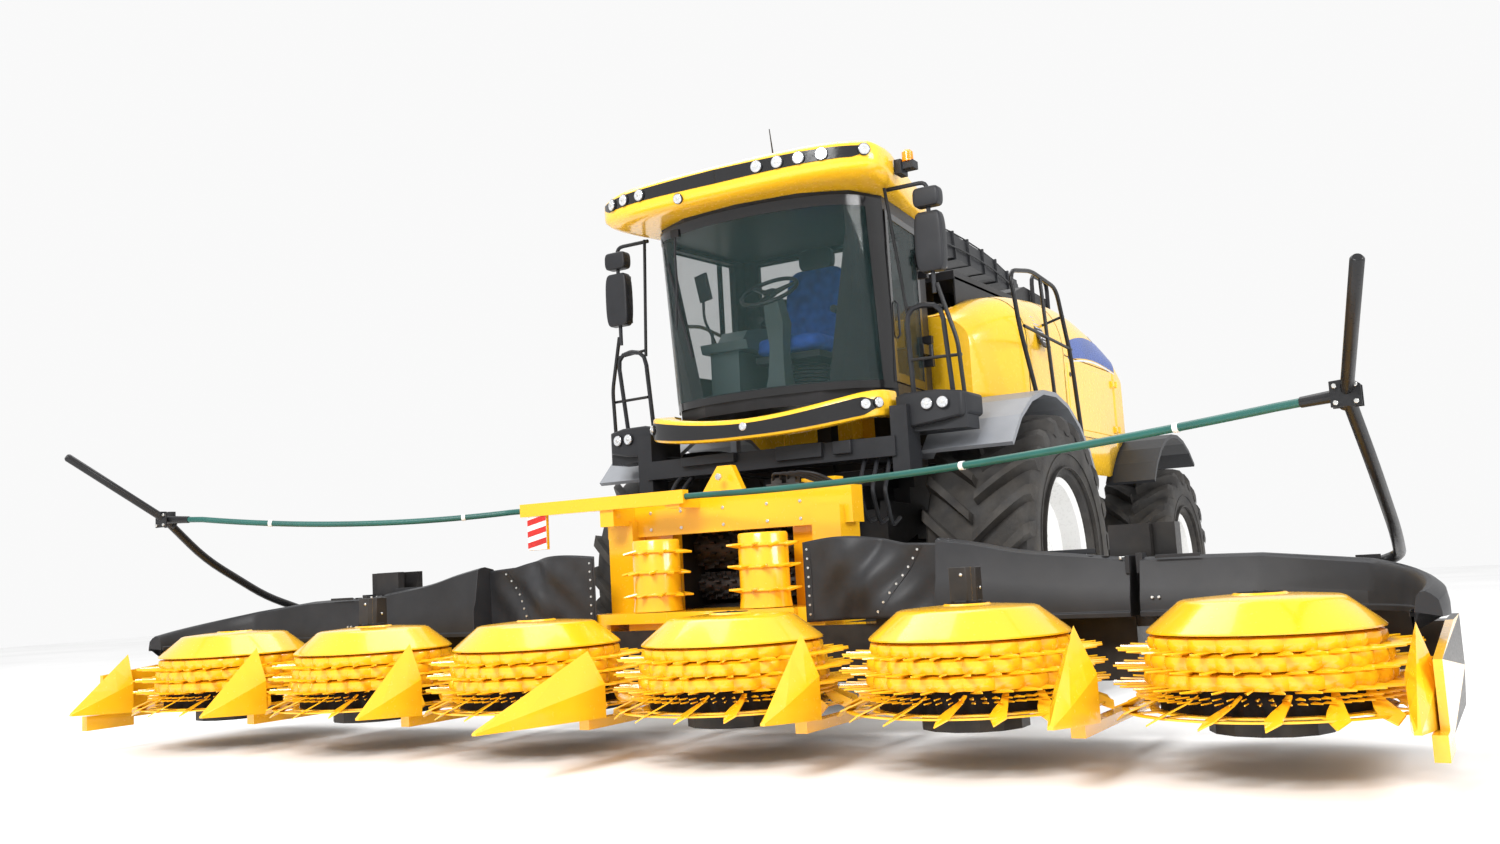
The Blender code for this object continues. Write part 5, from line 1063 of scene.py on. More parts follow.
# %% Controls
base = [block((-0.24, seat_y - 0.08, 2.27), (0.24, seat_y + 0.36, 2.315)),
    block((-0.20, seat_y, FLOOR_Z + 0.02), (0.20, seat_y + 0.34, FLOOR_Z + 0.07))]
base += [tube([(0, seat_y + 0.17, z), (0, seat_y + 0.17, z + 0.02)], 0.17 - 0.012 * (i % 2), 24)
    for i, z in enumerate([FLOOR_Z + 0.07 + 0.026 * k for k in range(8)])]
base += [block((-0.54, CAB_FRONT + 0.21, FLOOR_Z), (0.54, CAB_REAR - 0.09, FLOOR_Z + 0.02))]
arms = [tube([(s * 0.28, seat_y + 0.36, 2.58), (s * 0.28, seat_y + 0.08, 2.60)], 0.026, 14)
    for s in (1, -1)]
console = prism([(seat_y - 0.16, FLOOR_Z + 0.02), (seat_y + 0.46, FLOOR_Z + 0.02),
        (seat_y + 0.46, 2.52), (seat_y + 0.30, 2.58), (seat_y - 0.05, 2.52), (seat_y - 0.16, 2.40)],
    -0.51, -0.31, "X")
y0 = CAB_FRONT + 0.27
pillar = rings([[(-w, y0 + d, z), (w, y0 + d, z), (w * 1.1, y0 + d + t, z),
            (-w * 1.1, y0 + d + t, z)] for w, d, t, z in ((0.085, 0.0, 0.16, FLOOR_Z + 0.02),
            (0.06, 0.03, 0.11, 2.15), (0.05, 0.05, 0.09, 2.35), (0.065, 0.04, 0.11, 2.50),
            (0.05, 0.0, 0.09, 2.66))])
tilt = shift((0, seat_y - 0.27, 2.70)) @ spin(radians(35), "X")
rim = [turned([(0.19 + 0.014 * cos(a * tau / 10), 0.014 * sin(a * tau / 10)) for a in range(10)],
        ORIGIN, "Z", 48, loop=True)]
rim += [tube([(0, 0, -0.02), (0.185 * cos(a), 0.185 * sin(a), 0)], [0.022, 0.010], 10)
    for a in (radians(-90), radians(30), radians(150))] + [disc((0, 0, -0.03), (0, 0, 1), 0.045,
        0.035, 24)]
screen_arm = tube([(-0.50, CAB_FRONT + 0.42, 2.40), (-0.53, CAB_FRONT + 0.30, 2.60),
        (-0.50, CAB_FRONT + 0.26, 2.78)], 0.010, 8, 0.05)
screen = moved(block((-0.07, -0.012, -0.09), (0.07, 0.012, 0.09)),
    shift((-0.49, CAB_FRONT + 0.25, 2.80)) @ spin(-0.5, "Z") @ spin(0.2, "X"))
side_desk = prism([(CAB_FRONT + 0.30, 2.36), (CAB_FRONT + 0.60, 2.36), (CAB_FRONT + 0.62, 2.42),
        (CAB_FRONT + 0.28, 2.42)], -0.56, -0.20, "X")
piece("cab_controls", "chassis",
    [(MOULDED, base + arms + [moved(s, tilt) for s in rim] + [screen_arm, screen]),
        (TRIM, [console, pillar, side_desk, block((-0.52, CAB_FRONT + 0.34, FLOOR_Z + 0.02),
                (-0.30, CAB_FRONT + 0.56, 2.37))])], bevel=0.006,
    stands_for=("cab_interior",))

# %% [markdown]
# The roof and the band under the windscreen share one idea: a yellow moulding with a black panel
# let into its face, and round lamps set into the panel. Each lamp is a bezel, a bright dish and a
# small bulb cap.

# %% Roof, front band and lamps
def lamp(centre, facing, radius):
    c, n = Vector(centre), Vector(facing).normalized()
    return {MOULDED: [disc(c, n, radius * 1.12, 0.010, 28)],
        CHROME: [disc(c + n * 0.004, n, radius, 0.010, 28)],
        LENS: [disc(c + n * 0.006, n, radius * 0.86, 0.0105, 28)],
        ZINC: [disc(c + n * 0.008, n, radius * 0.30, 0.013, 16)]}


def lamps(name, body, places):
    groups = {}
    for place in places:
        for material, shapes in lamp(*place).items():
            groups.setdefault(material, []).extend(shapes)
    return piece(name, body, list(groups.items()), bevel=0.001)


# %% [markdown]
# The roof's outline bows forward in the middle and is closed by smaller and smaller copies of
# itself, one above the other. The lamp band follows the same bow, so one function of x gives the
# front edge to both.

# %% Roof
def roof_front(x):
    return at(1.09) + 0.05 * x * x + 0.15 * abs(x) ** 6


roof_half = [(x, roof_front(x)) for x in (0.0, 0.15, 0.3, 0.45, 0.6, 0.72, 0.82, 0.9, 0.955,
        0.985)] + [(0.998, at(1.34)), (1.0, at(1.44)), (0.985, at(1.56)), (0.93, at(1.80)),
    (0.84, at(2.20)), (0.79, at(2.50)), (0.75, at(2.62)), (0.66, at(2.66)), (0.3, at(2.66))]
roof_line = roof_half + [(-x, y) for x, y in reversed(roof_half[1:])]
roof_rows = []
for inset, z in ((0.16, 3.2005), (0.10, 3.203), (0.035, 3.222), (0.006, 3.250), (0.0, 3.275),
    (0.0, 3.36), (0.008, 3.380), (0.035, 3.400), (0.10, 3.418), (0.22, 3.437), (0.42, 3.452),
    (0.70, 3.459)):
    roof_rows.append([(x * (1 - inset), at(1.95) + (y - at(1.95)) * (1 - inset * 0.85), z)
            for x, y in roof_line])
piece("roof_moulding", "chassis", [(PAINTED_LIGHT_YELLOW, [rings(roof_rows)])], crease=50,
    stands_for=("cab_roof",))

band = []
for side in (1, -1):
    rows = []
    for x in [0.001 + 0.0355 * i for i in range(28)]:
        y, grow = roof_front(x), 0.0045
        top = 3.372 - 0.012 * x
        low = 3.285 + 0.01 * x if x < 0.90 else 3.285 + 0.01 * x + (x - 0.90) * 0.55
        slope = (roof_front(x + 0.001) - roof_front(x - 0.001)) / 0.002
        n = Vector((slope, -1, 0)).normalized()
        p = Vector((x, y, 0))
        rows.append([p + n * grow + Vector((0, 0, low)), p + n * grow + Vector((0, 0, top)),
                p - n * 0.01 + Vector((0, 0, top)), p - n * 0.01 + Vector((0, 0, low))])
    band.append(on_side(side, rings(rows)))
piece("roof_lamp_band", "chassis", [(FRIT, band)], crease=40)


def roof_lamp(x, z=3.328, radius=0.036):
    slope = (roof_front(x + 0.001) - roof_front(x - 0.001)) / 0.002
    n = Vector((slope, -1, 0)).normalized()
    return (Vector((x, roof_front(x), z)) + n * 0.004, n, radius)


lamps("roof_lamps", "chassis", [roof_lamp(x) for x in (0.30, 0.44, 0.58, 0.72, -0.58, -0.72, -0.84)]
    + [roof_lamp(0.945, 3.335, 0.034)] + [((-0.28, roof_front(-0.28) + 0.004, 3.245),
            (0, -1, -0.25), 0.030)])

# %% [markdown]
# The band under the windscreen is a moulding swept along a bowed line. Its section grows taller
# towards the corners, where the lamps sit, and a dark inlay runs along its face.

# %% Front band
FRONT_HALF = [(0.0, 1.268), (0.43, 1.293), (0.68, 1.36), (0.79, 1.445), (0.845, 1.56), (0.86, 1.66)]
FRONT_LINE = [(-x, y) for x, y in reversed(FRONT_HALF[1:])] + FRONT_HALF
bow, inlay = [], []
stations = flowing(FRONT_LINE, 6)
for i, (x, y) in enumerate(stations):
    before, after = stations[max(i - 1, 0)], stations[min(i + 1, len(stations) - 1)]
    n = Vector((after[1] - before[1], before[0] - after[0], 0)).normalized()
    p, share = Vector((x, at(y), 0)), min(1.0, abs(x) / 0.84)
    low, high = 1.712 + 0.075 * share ** 2.5, 1.842 + 0.108 * share ** 1.8
    up = lambda out, z: p + n * out + Vector((0, 0, z))
    bow.append([up(-0.14, low + 0.01), up(-0.03, low), up(-0.008, low + 0.006), up(0, low + 0.018),
            up(0.002, (low + high) / 2), up(0, high - 0.016), up(-0.010, high - 0.004),
            up(-0.03, high), up(-0.14, high)])
    if abs(x) < 0.835:
        thin = 0.020 + 0.05 * max(0.0, share - 0.90) / 0.10
        inlay.append([up(0.0055, low + thin), up(0.0055, high - thin - 0.012),
                up(-0.006, high - thin - 0.012), up(-0.006, low + thin)])
piece("front_band", "chassis", [(PAINTED_LIGHT_YELLOW, [rings(bow)]), (FRIT, [rings(inlay)])],
    crease=40, stands_for=("bumper",))


def band_lamp(index, radius=0.030):
    x, y = stations[index]
    a, b = stations[index - 1], stations[index + 1]
    n = Vector((b[1] - a[1], a[0] - b[0], 0)).normalized()
    share = min(1.0, abs(x) / 0.84)
    return (Vector((x, at(y), 1.785 + 0.085 * share ** 2)) + n * 0.005, n, radius)


lamps("front_band_lamps", "chassis",
    [band_lamp(i) for i in (10, 14, len(stations) - 15, len(stations) - 11)])
piece("blank_badge", "chassis",
    [(CHROME, [disc((0.0, at(1.266), 1.790), (0, -1, 0), 0.026, 0.010, 32)]),
        (LENS, [disc((0.0, at(1.258), 1.790), (0, -1, 0), 0.020, 0.004, 32)])],
    bevel=0.002)

# %% [markdown]
# The walkways beside the cab end in a soft black nose with two lamps. Five sections of four
# corners are enough for it, because a wide bevel rounds them.

# %% Platform noses
for side, label in SIDES:
    nose = rings([[(x, at(y0), z0), (x, at(y0), z1), (x, at(1.90), z1), (x, at(1.90), z0)]
            for x, y0, z0, z1 in ((0.885, 1.58, 1.70, 1.90), (0.95, 1.57, 1.70, 1.915),
                (1.15, 1.585, 1.725, 1.915), (1.28, 1.63, 1.75, 1.90), (1.318, 1.70, 1.77, 1.885))])
    piece(f"platform_nose_{label}", "chassis", [(MOULDED, [on_side(side, nose)])],
        bevel=0.012)
    lamps(f"platform_lamps_{label}", "chassis",
        [((side * x, at(1.577 + (x - 1.09) * 0.12), 1.835), (0.12 * side, -1, 0), 0.034)
            for x in (1.09, 1.185)])

# %% [markdown]
# The body behind the cab is a thin pressed skin. A grid of points follows its section from
# station to station, its lower edge follows the mudguards' arcs, and cells over the service doors
# are left out so the doors can swing.

# %% Body skin
BODY_X, BODY_Y0, BODY_Y1 = 1.22, CAB_REAR + 0.06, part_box("body_shell")[1].y - 0.001
BODY_Z0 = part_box("body_shell")[0].z
side_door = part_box("service_door_left")
HATCH_Y0, HATCH_Y1, HATCH_Z0, HATCH_Z1 = at(3.95), BODY_Y1 + 0.001 - 0.28, side_door[
    0].z - 0.003, side_door[1].z + 0.003
RISE = [(BODY_Y0, 2.56), (at(3.1), 2.73), (at(3.7), 2.81), (at(4.3), 2.84), (at(4.75), 2.79),
    (at(5.15), 2.68), (BODY_Y1, 2.50)]
SMOOTH_RISE = flowing(RISE, 12)


# %% [markdown]
# The skin's height comes from a table along the machine. Its foot is level until a wheel is near,
# and then follows a circle round that axle.

# %% The body's section
def body_crown(y):
    for (a, p), (b, q) in zip(SMOOTH_RISE, SMOOTH_RISE[1:]):
        if y <= b:
            return p + (q - p) * max(0.0, (y - a) / (b - a))
    return SMOOTH_RISE[-1][1]


def body_foot(y):
    foot = BODY_Z0
    for axle, radius in ((FRONT_AXLE, 1.064), (REAR_AXLE, 1.084)):
        if abs(y - axle.y) < radius:
            foot = max(foot, axle.z + sqrt(radius ** 2 - (y - axle.y) ** 2))
    return foot


def body_section(y):
    """Outer points at a station, from the lower edge up over the shoulder to the deck's edge."""
    top, flare = body_crown(y), 0.24 * max(0.0, 1 - (y - BODY_Y0) / 0.5) ** 1.5
    side, foot = BODY_X - flare, body_foot(y)
    bend = min(HATCH_Z1 + 0.02, top - 0.2)
    line = [(side, foot + (bend - foot) * k / 8) for k in range(9)] if foot < bend - 0.02 else [
        (side, bend + (foot - bend) * 0.2 * k / 8) for k in range(9)]
    start = line[-1][1]
    for k in range(1, 11):
        a = pi / 2 * k / 10
        line.append((side - 0.30 * (1 - cos(a)), start + (top - start) * sin(a)))
    return [Vector((x, y, z)) for x, z in line] + [Vector((0.806, y, top + 0.004))]


def body_x(y, z):
    line = body_section(y)
    for a, b in zip(line, line[1:]):
        if a.z <= z <= b.z and b.z > a.z:
            return a.x + (b.x - a.x) * (z - a.z) / (b.z - a.z)
    return line[0].x


def hatch_rows(y):
    """The same section with grid lines on the service door's edges."""
    line = body_section(y)
    if HATCH_Y0 - 1e-4 <= y <= HATCH_Y1 + 1e-4 and line[0].z < HATCH_Z1:
        foot = line[0].z
        low = max(HATCH_Z0, foot + 0.001)
        levels = [foot, low] + [low + (HATCH_Z1 - low) * k / 6 for k in range(1, 7)] + [line[8].z]
        for k, z in enumerate(levels):
            line[k] = Vector((line[k].x, y, z))
    return line


# %% [markdown]
# Both halves of the skin use one grid. A Solidify modifier gives them the sheet's thickness, dark
# strips stand for the joints between panels, and the service doors are made next to the gap that
# was left for them.

# %% Skin, seams and service doors
CELLS = 56  # along the body
ys = [BODY_Y0 + (BODY_Y1 - BODY_Y0) * i / CELLS for i in range(CELLS + 1)]
for edge_y in (HATCH_Y0, HATCH_Y1):
    ys[min(range(CELLS + 1), key=lambda i: abs(ys[i] - edge_y))] = edge_y
lines = [hatch_rows(y) for y in ys]
wide = len(lines[0])
for side, label in SIDES:
    points = [p for line in lines for p in line]
    faces = []
    for i in range(CELLS):
        for j in range(wide - 1):
            mid_y, mid_z = (ys[i] + ys[i + 1]) / 2, (lines[i][j].z + lines[i][j + 1].z
                + lines[i + 1][j].z + lines[i + 1][j + 1].z) / 4
            if HATCH_Y0 < mid_y < HATCH_Y1 and HATCH_Z0 < mid_z < HATCH_Z1:
                continue
            faces.append((i * wide + j, (i + 1) * wide + j, (i + 1) * wide + j + 1,
                    i * wide + j + 1))
    for end, order in ((0, 1), (CELLS, -1)):
        start = len(points)
        inner = [Vector((0.0, p.y, p.z)) for p in lines[end]]
        points += inner
        faces += [(end * wide + j, end * wide + j + 1, start + j + 1, start + j)[::order]
            for j in range(wide - 1)]
    skin = piece(f"body_skin_{label}", "chassis", [(PAINTED_LIGHT_YELLOW, [on_side(side, (points, faces))])],
        crease=42, stands_for=("body_shell",) if side > 0 else ())
    sheet_edge = skin.modifiers.new("sheet", "SOLIDIFY")
    sheet_edge.thickness, sheet_edge.offset = 0.010, -1
    seams = []
    for y, width in ((at(3.12), 0.0022), (HATCH_Y0 - 0.02, 0.0022), (at(4.93), 0.0022)):
        a, b = body_section(y - width), body_section(y + width)
        low = 0 if y < HATCH_Y0 else 9
        seams.append(rings([[a[j] + Vector((0.0012, 0, 0.0012)), b[j] + Vector((0.0012, 0, 0.0012)),
                        b[j] - Vector((0.004, 0, 0.004)), a[j] - Vector((0.004, 0, 0.004))]
                    for j in range(low, wide - 1)]))
    piece(f"body_seams_{label}", "chassis", [(NEAR_BLACK_AND_SHADE, sided(side, seams))])

    r = 0.004
    z, z2, c = HATCH_Z0 + 2 * r, HATCH_Z1 - 2 * r, 0.05
    panel = [rings([[(BODY_X - 0.012, y, z), (BODY_X, y, z), (BODY_X, y, z2),
                    (BODY_X - 0.012, y, z2)] for y in (HATCH_Y0 + r, HATCH_Y1 - r)])]
    z, z2 = HATCH_Z0, HATCH_Z1
    panel += [rings([[(BODY_X - 0.001, y, z + c), (BODY_X + 0.004, y + d, z + c + 0.006),
                    (BODY_X + 0.004, y + d, z2 - c - 0.006), (BODY_X - 0.001, y, z2 - c)]
                for y, d in ((HATCH_Y0 + 0.05, 0.006), (HATCH_Y1 - 0.09, -0.006))])]
    knuckles = []
    for z in (HATCH_Z0 + 0.08, HATCH_Z1 - 0.14):
        knuckles += [block((BODY_X - 0.01, HATCH_Y1 - 0.06, z + 0.003),
                (BODY_X + 0.017, HATCH_Y1 - 0.012, z + 0.057)),
            tube([(BODY_X + 0.023, HATCH_Y1 + 0.03, z + 0.003), (BODY_X + 0.023, HATCH_Y1 + 0.03,
                        z + 0.057)], 0.0115, 14),
            block((BODY_X + 0.012, HATCH_Y1 - 0.05, z + 0.012), (BODY_X + 0.022, HATCH_Y1 + 0.026,
                    z + 0.048))]
    latch = [disc((BODY_X + 0.003, HATCH_Y0 + 0.10, (HATCH_Z0 + HATCH_Z1) / 2 + dz), (1, 0, 0),
            0.018, 0.006, 20) for dz in (-0.16, 0.16)]
    piece(f"hatch_{label}", f"service_door_{label}", [(PAINTED_LIGHT_YELLOW, sided(side, panel + knuckles)),
            (MOULDED, sided(side, latch))], bevel=0.002,
        stands_for=(f"service_door_{label}",))

# %% [markdown]
# Markings stay blank: a blue swoosh with a pale edge sweeps over each shoulder, and a dark plate
# with a bright rim sits ahead of it. Both are thin strips that follow the skin.

# %% Blank markings
BLUE = finish("blue_film", (0.010, 0.060, 0.30), 0.28, mottle=0.1, scale=5)
PALE = finish("pale_film", (0.62, 0.66, 0.70), 0.3, mottle=0.05)
VENT_Y, VENT_Z = at(3.42), 2.49


def film(y0, y1, low, high, out, steps=22):
    """A thin strip that lies on the skin between two curves."""
    rows = []
    for i in range(steps + 1):
        t = i / steps
        y = y0 + (y1 - y0) * t
        z0, z1 = low(t), max(high(t), low(t) + 0.003)
        levels = [z0 + (z1 - z0) * k / 8 for k in range(9)]
        column = [(body_x(y, z), y, z) for z in levels]
        rows.append([(x + out, y, z + out * 0.4) for x, y, z in column] + [(x - 0.002, y, z)
                for x, y, z in reversed(column)])
    return rings(rows)


def hump(t):
    return sin(pi * t)


for side, label in SIDES:
    swoosh = film(at(4.05), at(5.30), lambda t: 2.36 + 0.045 * hump(t) + 0.02 * t, lambda t: 2.40
        + 0.20 * hump(min(1, t * 0.62 + 0.12)) ** 0.8, 0.0022)
    pale_edge = film(at(4.10), at(5.30), lambda t: 2.343 + 0.040 * hump(t) + 0.02 * t,
        lambda t: 2.352 + 0.045 * hump(t) + 0.02 * t, 0.0020)
    piece(f"side_swoosh_{label}", "chassis", [(BLUE, [on_side(side, swoosh)]),
            (PALE, [on_side(side, pale_edge)])])
    vent = shift((body_x(VENT_Y, VENT_Z) - 0.004, VENT_Y, VENT_Z)) @ spin(-0.42, "Y")
    corners = [(-0.085, -0.14), (0.085, -0.14), (0.085, 0.14), (-0.085, 0.14)]
    grille = [moved(prism(rounded(corners, 0.04), -0.004, 0.010, "X"), vent)]
    bars = [moved(block((0.008, -0.062, -0.105 + 0.03 * k), (0.016, 0.062, -0.095 + 0.03 * k)),
            vent) for k in range(8)]
    piece(f"vent_plate_{label}", "chassis", [(DARK_STEEL, sided(side, grille)),
            (CHROME, sided(side, bars))], bevel=0.003)

# %% [markdown]
# Mudguards and the side platforms keep the model's own mesh and get their finishes here, as the
# deck, the turret and the lifting gear did above. The header's beams are yellow in front and
# nearly black behind, so faces are sorted by where they lie.

# %% Two-tone frames and mudguards
for side, label in SIDES:
    dress(f"front_fender_{label}", GREY, 0.006)
    dress(f"rear_fender_{label}", MOULDED, 0.006)
dress("side_platforms", MOULDED, 0.008)


def dress_two(node, rear, is_rear):
    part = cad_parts[node]
    part.data.materials.append(rear)
    for polygon in part.data.polygons:
        if is_rear(part.matrix_world @ polygon.center):
            polygon.material_index = 1


def behind(p):
    near = (p.x / PITCH - 0.5) - round(p.x / PITCH - 0.5)
    low_arm = p.z < 0.50 and abs(near * PITCH) < 0.36 and p.y > at(-0.36)
    return p.y > at(0.36) and abs(p.x) > 0.72 + 0.7 * (p.z > 1.02) or low_arm or p.y > at(
        0.60) and p.z < 0.60


for node in ("centre_frame",) + WINGS:
    dress_two(node, BLACK, behind)
# %% [markdown]
# Each rotor's bell is open at the top, where a dark cap with three bolts covers the drive shaft.

# %% Hub caps
for k in range(6):
    centre = Vector(((k - 2.5) * PITCH, ROTOR_Y, 0))
    piece(f"hub_cap_{k + 1}", f"rotor_{k + 1}",
        [(NEAR_BLACK_AND_SHADE, [disc(centre + Vector((0, 0, ROTOR_TOP + 0.003)), (0, 0, 1), 0.088, 0.005, 32)]),
            (DARK_STEEL, [disc(centre + Vector((0.024 * cos(a), 0.024 * sin(a), ROTOR_TOP + 0.006)),
                    (0, 0, 1), 0.008, 0.006, 6) for a in (0.5, 2.6, 4.7)])])

# %% [markdown]
# The mouth's cross member carries a valve block, small pipes, bolts and a striped marker board.
# Short hoses loop from it back to the machine, loose enough for the header to lift.

# %% Details on the mouth and under the cab
RED = finish("red_reflector", (0.55, 0.02, 0.015), 0.25, mottle=0.1, scale=40, bump=0.2)
WHITE = finish("white_reflector", (0.80, 0.80, 0.80), 0.3, mottle=0.08)
face_y = at(0.985)
valve = [block((0.30, face_y, 1.345), (0.52, face_y + 0.09, 1.40)),
    block((0.33, face_y + 0.01, 1.40), (0.40, face_y + 0.07, 1.435)),
    block((0.43, face_y + 0.01, 1.40), (0.49, face_y + 0.07, 1.445))]
pipes = [tube([(0.34 + 0.05 * k, face_y + 0.02, 1.42), (0.36 + 0.05 * k, face_y - 0.02, 1.46),
            (0.52 + 0.04 * k, face_y - 0.01, 1.44), (0.70 + 0.02 * k, face_y + 0.06, 1.36),
            (0.72 + 0.02 * k, face_y + 0.16, 1.24)], 0.009, 8, 0.05) for k in range(4)]
studs = [disc((x, at(0.985), z), (0, -1, 0), 0.011, 0.010, 6) for x in (-0.52, -0.30, 0.0, 0.30,
        0.52) for z in (1.19, 1.29)]
board = [block((-1.298, at(0.748), 1.112), (-1.152, at(0.7535), 1.328))]
stripes = [prism([(-1.298, 1.122 + 0.07 * k), (-1.152, 1.152 + 0.07 * k),
            (-1.152, 1.187 + 0.07 * k), (-1.298, 1.157 + 0.07 * k)], at(0.7455), at(0.7482), "Y")
    for k in range(3)]
piece("marker_film", "header", [(WHITE, board), (RED, stripes)])
piece("header_valves", "header", [(BLACK, pipes), (DARK_STEEL, valve),
        (ZINC, studs + [disc((0, at(0.955), 1.47), (0, -1, 0), 0.022, 0.014, 6)])],
    bevel=0.002)
loops = []
for k, x in enumerate((-0.62, -0.55, 0.66, 0.74, 0.82)):
    s = 1 if x > 0 else -1
    loops.append(tube([(x, at(1.62), 1.60), (x + 0.03 * s, at(1.45), 1.50 - 0.03 * k),
                (x + 0.05 * s, at(1.38), 1.34), (x + 0.03 * s, at(1.50), 1.20 - 0.02 * k),
                (x, at(1.68), 1.18)], 0.013, 10, 0.08))
loops += [block((-0.60, at(1.46), 1.60), (-0.20, at(1.56), 1.66)), block((0.10, at(1.47), 1.575),
        (0.42, at(1.56), 1.665)), block((0.50, at(1.47), 1.58), (0.62, at(1.55), 1.66))]
piece("under_cab_hoses", "chassis", [(MOULDED, loops)], bevel=0.004)

# %% [markdown]
# Rails guard the walkways on both sides, and stay clear of the sector that the cab door sweeps.
# Mirror heads are soft-cornered shells with a bright face turned to the rear.

# %% Rails and mirrors
def guard(y):
    """Height of the front mudguard's back, where the rails stand on it."""
    return FRONT_AXLE.z + sqrt(1.05 ** 2 - (y - FRONT_AXLE.y) ** 2) - 0.01


for side, label in SIDES:
    rails = [tube([(1.285, at(1.70), 1.86), (1.275, at(1.67), 2.20), (1.18, at(1.645), 2.56)],
            0.013, 10, 0.05), tube([(1.285, at(1.70), 2.12), (0.975, at(1.66), 2.12)], 0.010, 8),
        tube([(1.20, at(1.65), 2.42), (0.975, at(1.65), 2.44)], 0.010, 8),
        tube([(0.972, at(1.655), 2.40), (0.90, at(1.60), 3.19)], 0.011, 8),
        tube([(1.38, at(3.70), 1.72), (1.375, at(3.60), 2.30), (1.36, at(3.42), 2.78),
                (1.34, at(2.95), 2.83), (1.31, at(2.60), 2.78), (1.33, at(2.66), 2.40),
                (1.37, at(2.80), guard(at(2.80)))], 0.015, 12, 0.09),
        tube([(1.375, at(3.62), 2.36), (1.34, at(2.72), 2.42)], 0.011, 8),
        tube([(1.345, at(3.12), 2.80), (1.37, at(3.20), guard(at(3.20)))], 0.013, 10),
        tube([(1.38, at(3.70), 1.73), (1.20, at(3.70), 1.73)], 0.013, 10),
        tube([(1.36, at(3.56), 2.60), (1.18, at(3.56), 2.55)], 0.010, 8)]
    piece(f"walkway_rails_{label}", "chassis", [(BAR, sided(side, rails))])
    x, y = 1.163, at(1.64)
    heads, faces_bright = [], []
    for z0, z1, half in ((2.63, 3.00, 0.09), (3.03, 3.15, 0.085)):
        heads.append(moved(cushion((-half, -0.045, -(z1 - z0) / 2), (half, 0.045, (z1 - z0) / 2),
                    0.22, 32, 16), shift((x, y, (z0 + z1) / 2))))
        faces_bright.append(prism([(x - half * 0.82, z0 + 0.02), (x + half * 0.82, z0 + 0.02),
                    (x + half * 0.82, z1 - 0.02), (x - half * 0.82, z1 - 0.02)], y + 0.041,
                y + 0.047, "Y"))
    stem = tube([(0.90, y, 3.188), (x, y, 3.188), (x, y, 2.50)], 0.013, 12, 0.05)
    piece(f"mirror_heads_{label}", "chassis", [(MOULDED, sided(side, heads + [stem])),
            (CHROME, sided(side, faces_bright))], crease=50,
        stands_for=(f"mirror_{label}",))
# %% [markdown]
# A beacon is a turned lens on a small foot, and the antenna a thin rod that tapers.

# %% Beacon and antenna
glow = turned([(0.0005, 3.405), (0.020, 3.402), (0.034, 3.388), (0.036, 3.33), (0.0005, 3.33)],
    (1.06, at(1.62), 0), "Z", 28, loop=True)
foot = [block((1.02, at(1.60), 3.285), (1.10, at(1.68), 3.335)),
    tube([(0.93, at(1.62), 3.30), (1.04, at(1.64), 3.30)], 0.014, 10),
    block((0.985, at(1.575), 3.255), (1.03, at(1.68), 3.345))]
piece("beacon", "chassis", [(AMBER, [glow]), (MOULDED, foot)], bevel=0.002)
piece("antenna", "chassis",
    [(MOULDED, [tube([(0.28, at(1.35), 3.43), (0.32, at(1.24), 3.60)], [0.006, 0.003], 8),
                disc((0.28, at(1.35), 3.425), (0, 0, 1), 0.018, 0.016, 16)])])

# %% [markdown]
# The spout is a box of pressed sheet with ribs round it and a rail along each side. Its ribs are
# placed along the same curve as the chute, square to it, so they stay on it as it arches over the
# deck.

# %% Spout
SPOUT_Y, RIB_OUT, HALF_RIB = 0.515, 0.016, 0.009
SPOUT_LINE = [(0, 3.12, 0.26, 70), (0.06, 3.26, 0.26, 60), (0.24, 3.40, 0.25, 30),
    (0.60, 3.49, 0.24, 10), (1.30, 3.54, 0.22, 0), (2.20, 3.50, 0.20, -6), (2.90, 3.38, 0.18, -14)]
curve = flowing(SPOUT_LINE, 8)
ribs, ridges = [], []


def spout_ring(y, z, tall, turn, grow, wide=0.15):
    up = Vector((0, -sin(radians(turn)), cos(radians(turn))))
    middle_point, w, h = Vector((0, SPOUT_Y + y, z)), wide + grow, tall / 2 + grow
    return [middle_point + Vector((-w, 0, 0)) - up * h, middle_point + Vector((w, 0, 0)) - up * h,
        middle_point + Vector((w * 0.92, 0, 0)) + up * h, middle_point + Vector((-w * 0.92, 0, 0))
        + up * h]


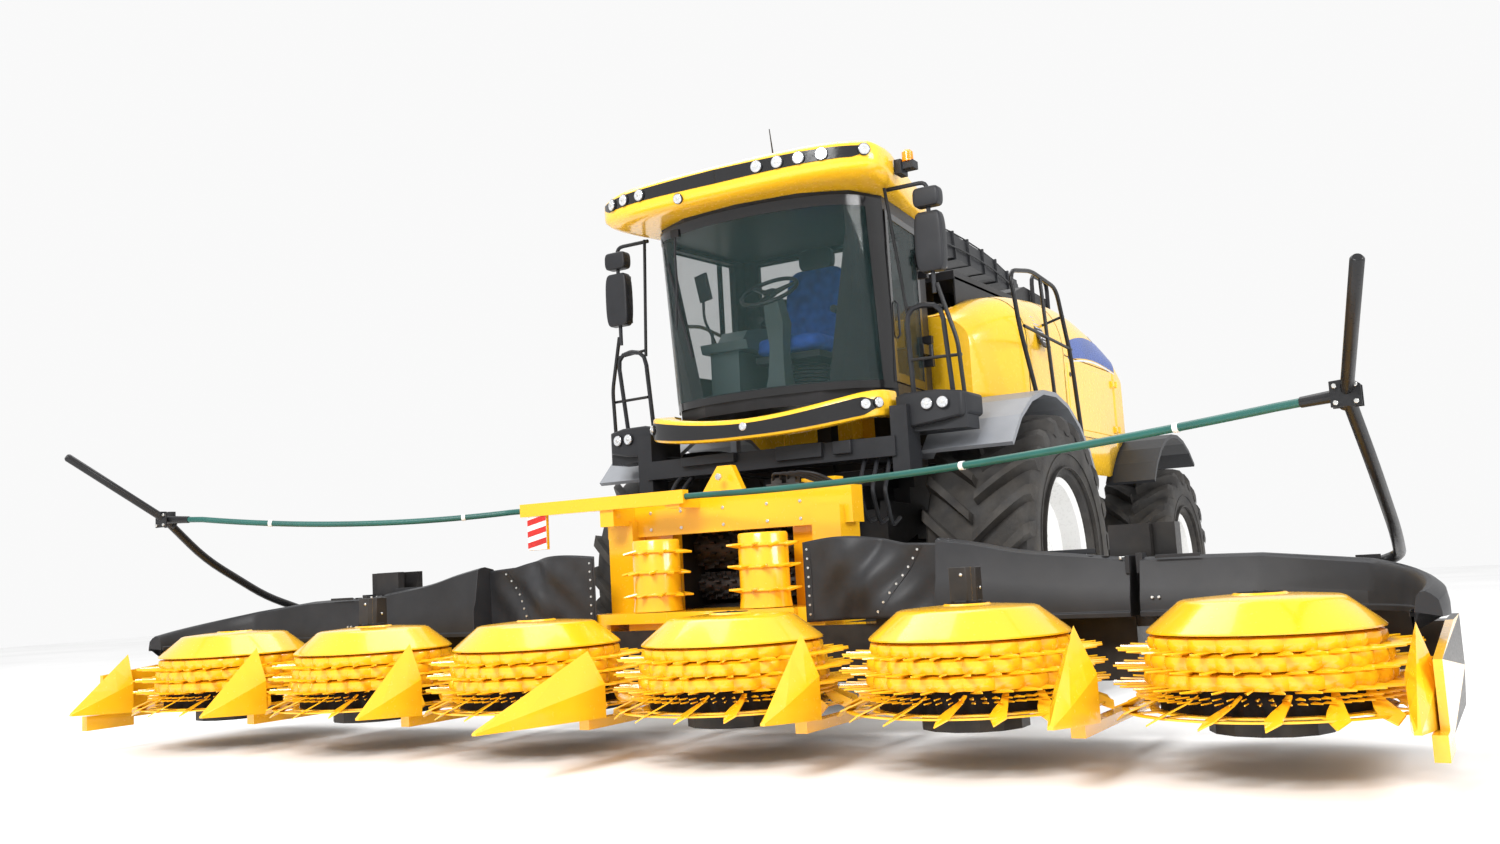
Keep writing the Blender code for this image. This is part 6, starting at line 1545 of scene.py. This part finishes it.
for i in range(14, len(curve) - 2, 3):
    y, z, tall, turn = curve[i]
    run = Vector((0, cos(radians(turn)), sin(radians(turn)))) * HALF_RIB
    outer, inner = spout_ring(y, z, tall, turn, RIB_OUT), spout_ring(y, z, tall, turn, -0.004)
    for a in range(4):
        b = (a + 1) % 4
        ribs.append(rings([[outer[a] - run, outer[b] - run, inner[b] - run, inner[a] - run],
                    [outer[a] + run, outer[b] + run, inner[b] + run, inner[a] + run]]))
for s in (1, -1):
    ridges.append(tube([(s * 0.163, SPOUT_Y + y, z - 0.02) for y, z, tall, turn in curve[12:-1:3]],
            0.008, 8))
    ridges.append(tube([(s * 0.120, SPOUT_Y + y, z + tall / 2 + 0.016)
                for y, z, tall, turn in curve[20:-1:3]], 0.007, 8))
piece("spout_ribs", "spout", [(MOULDED, ribs + ridges)], bevel=0.002)
dress("spout_chute", MOULDED, 0.006)
# %% [markdown]
# Skirts close the gap between the deck and the skin. Their lower edge follows the skin's crown,
# and slats close the deck at the rear.

# %% Deck skirts
deck_low, deck_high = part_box("engine_deck")
skirts = []
for s in (1, -1):
    rows = []
    for k in range(25):
        y = deck_low.y + 0.01 + (deck_high.y - deck_low.y - 0.02) * k / 24
        rows.append([(s * 0.800, y, body_crown(y) - 0.12), (s * 0.800, y, deck_low.z + 0.02),
                (s * 0.788, y, deck_low.z + 0.02), (s * 0.788, y, body_crown(y) - 0.12)])
    skirts.append(rings(rows))
rear_y = deck_high.y - 0.01
slats = [block((-0.79, rear_y - 0.012, 2.46 + 0.042 * k), (0.79, rear_y + 0.004, 2.482 + 0.042 * k))
    for k in range(10)]
slats += [block((-0.79, rear_y - 0.03, 2.40), (0.79, rear_y - 0.014, deck_low.z + 0.01))]
piece("deck_skirts", "chassis", [(MOULDED, skirts), (BLACK, slats)], bevel=0.002)

# %% [markdown]
# The floor is one wide sheet that rides on no body of the machine. It has the pale
# tone of the backdrop, and a slow unevenness keeps it from looking drawn.

# %% Floor
FLOOR = finish("studio_floor", (0.93, 0.93, 0.93), 0.85, mottle=0.03, scale=0.5, bump=0.02)
grid = [(x * 5.0, y * 5.0, -0.002 + 0.0005 * sin(x + 2 * y)) for y in range(-6, 7)
    for x in range(-6, 7)]
floor = piece("floor_sheet", None,
    [(FLOOR,
            [(grid, [(j * 13 + i, j * 13 + i + 1, (j + 1) * 13 + i + 1, (j + 1) * 13 + i)
                for j in range(12) for i in range(12)])])])
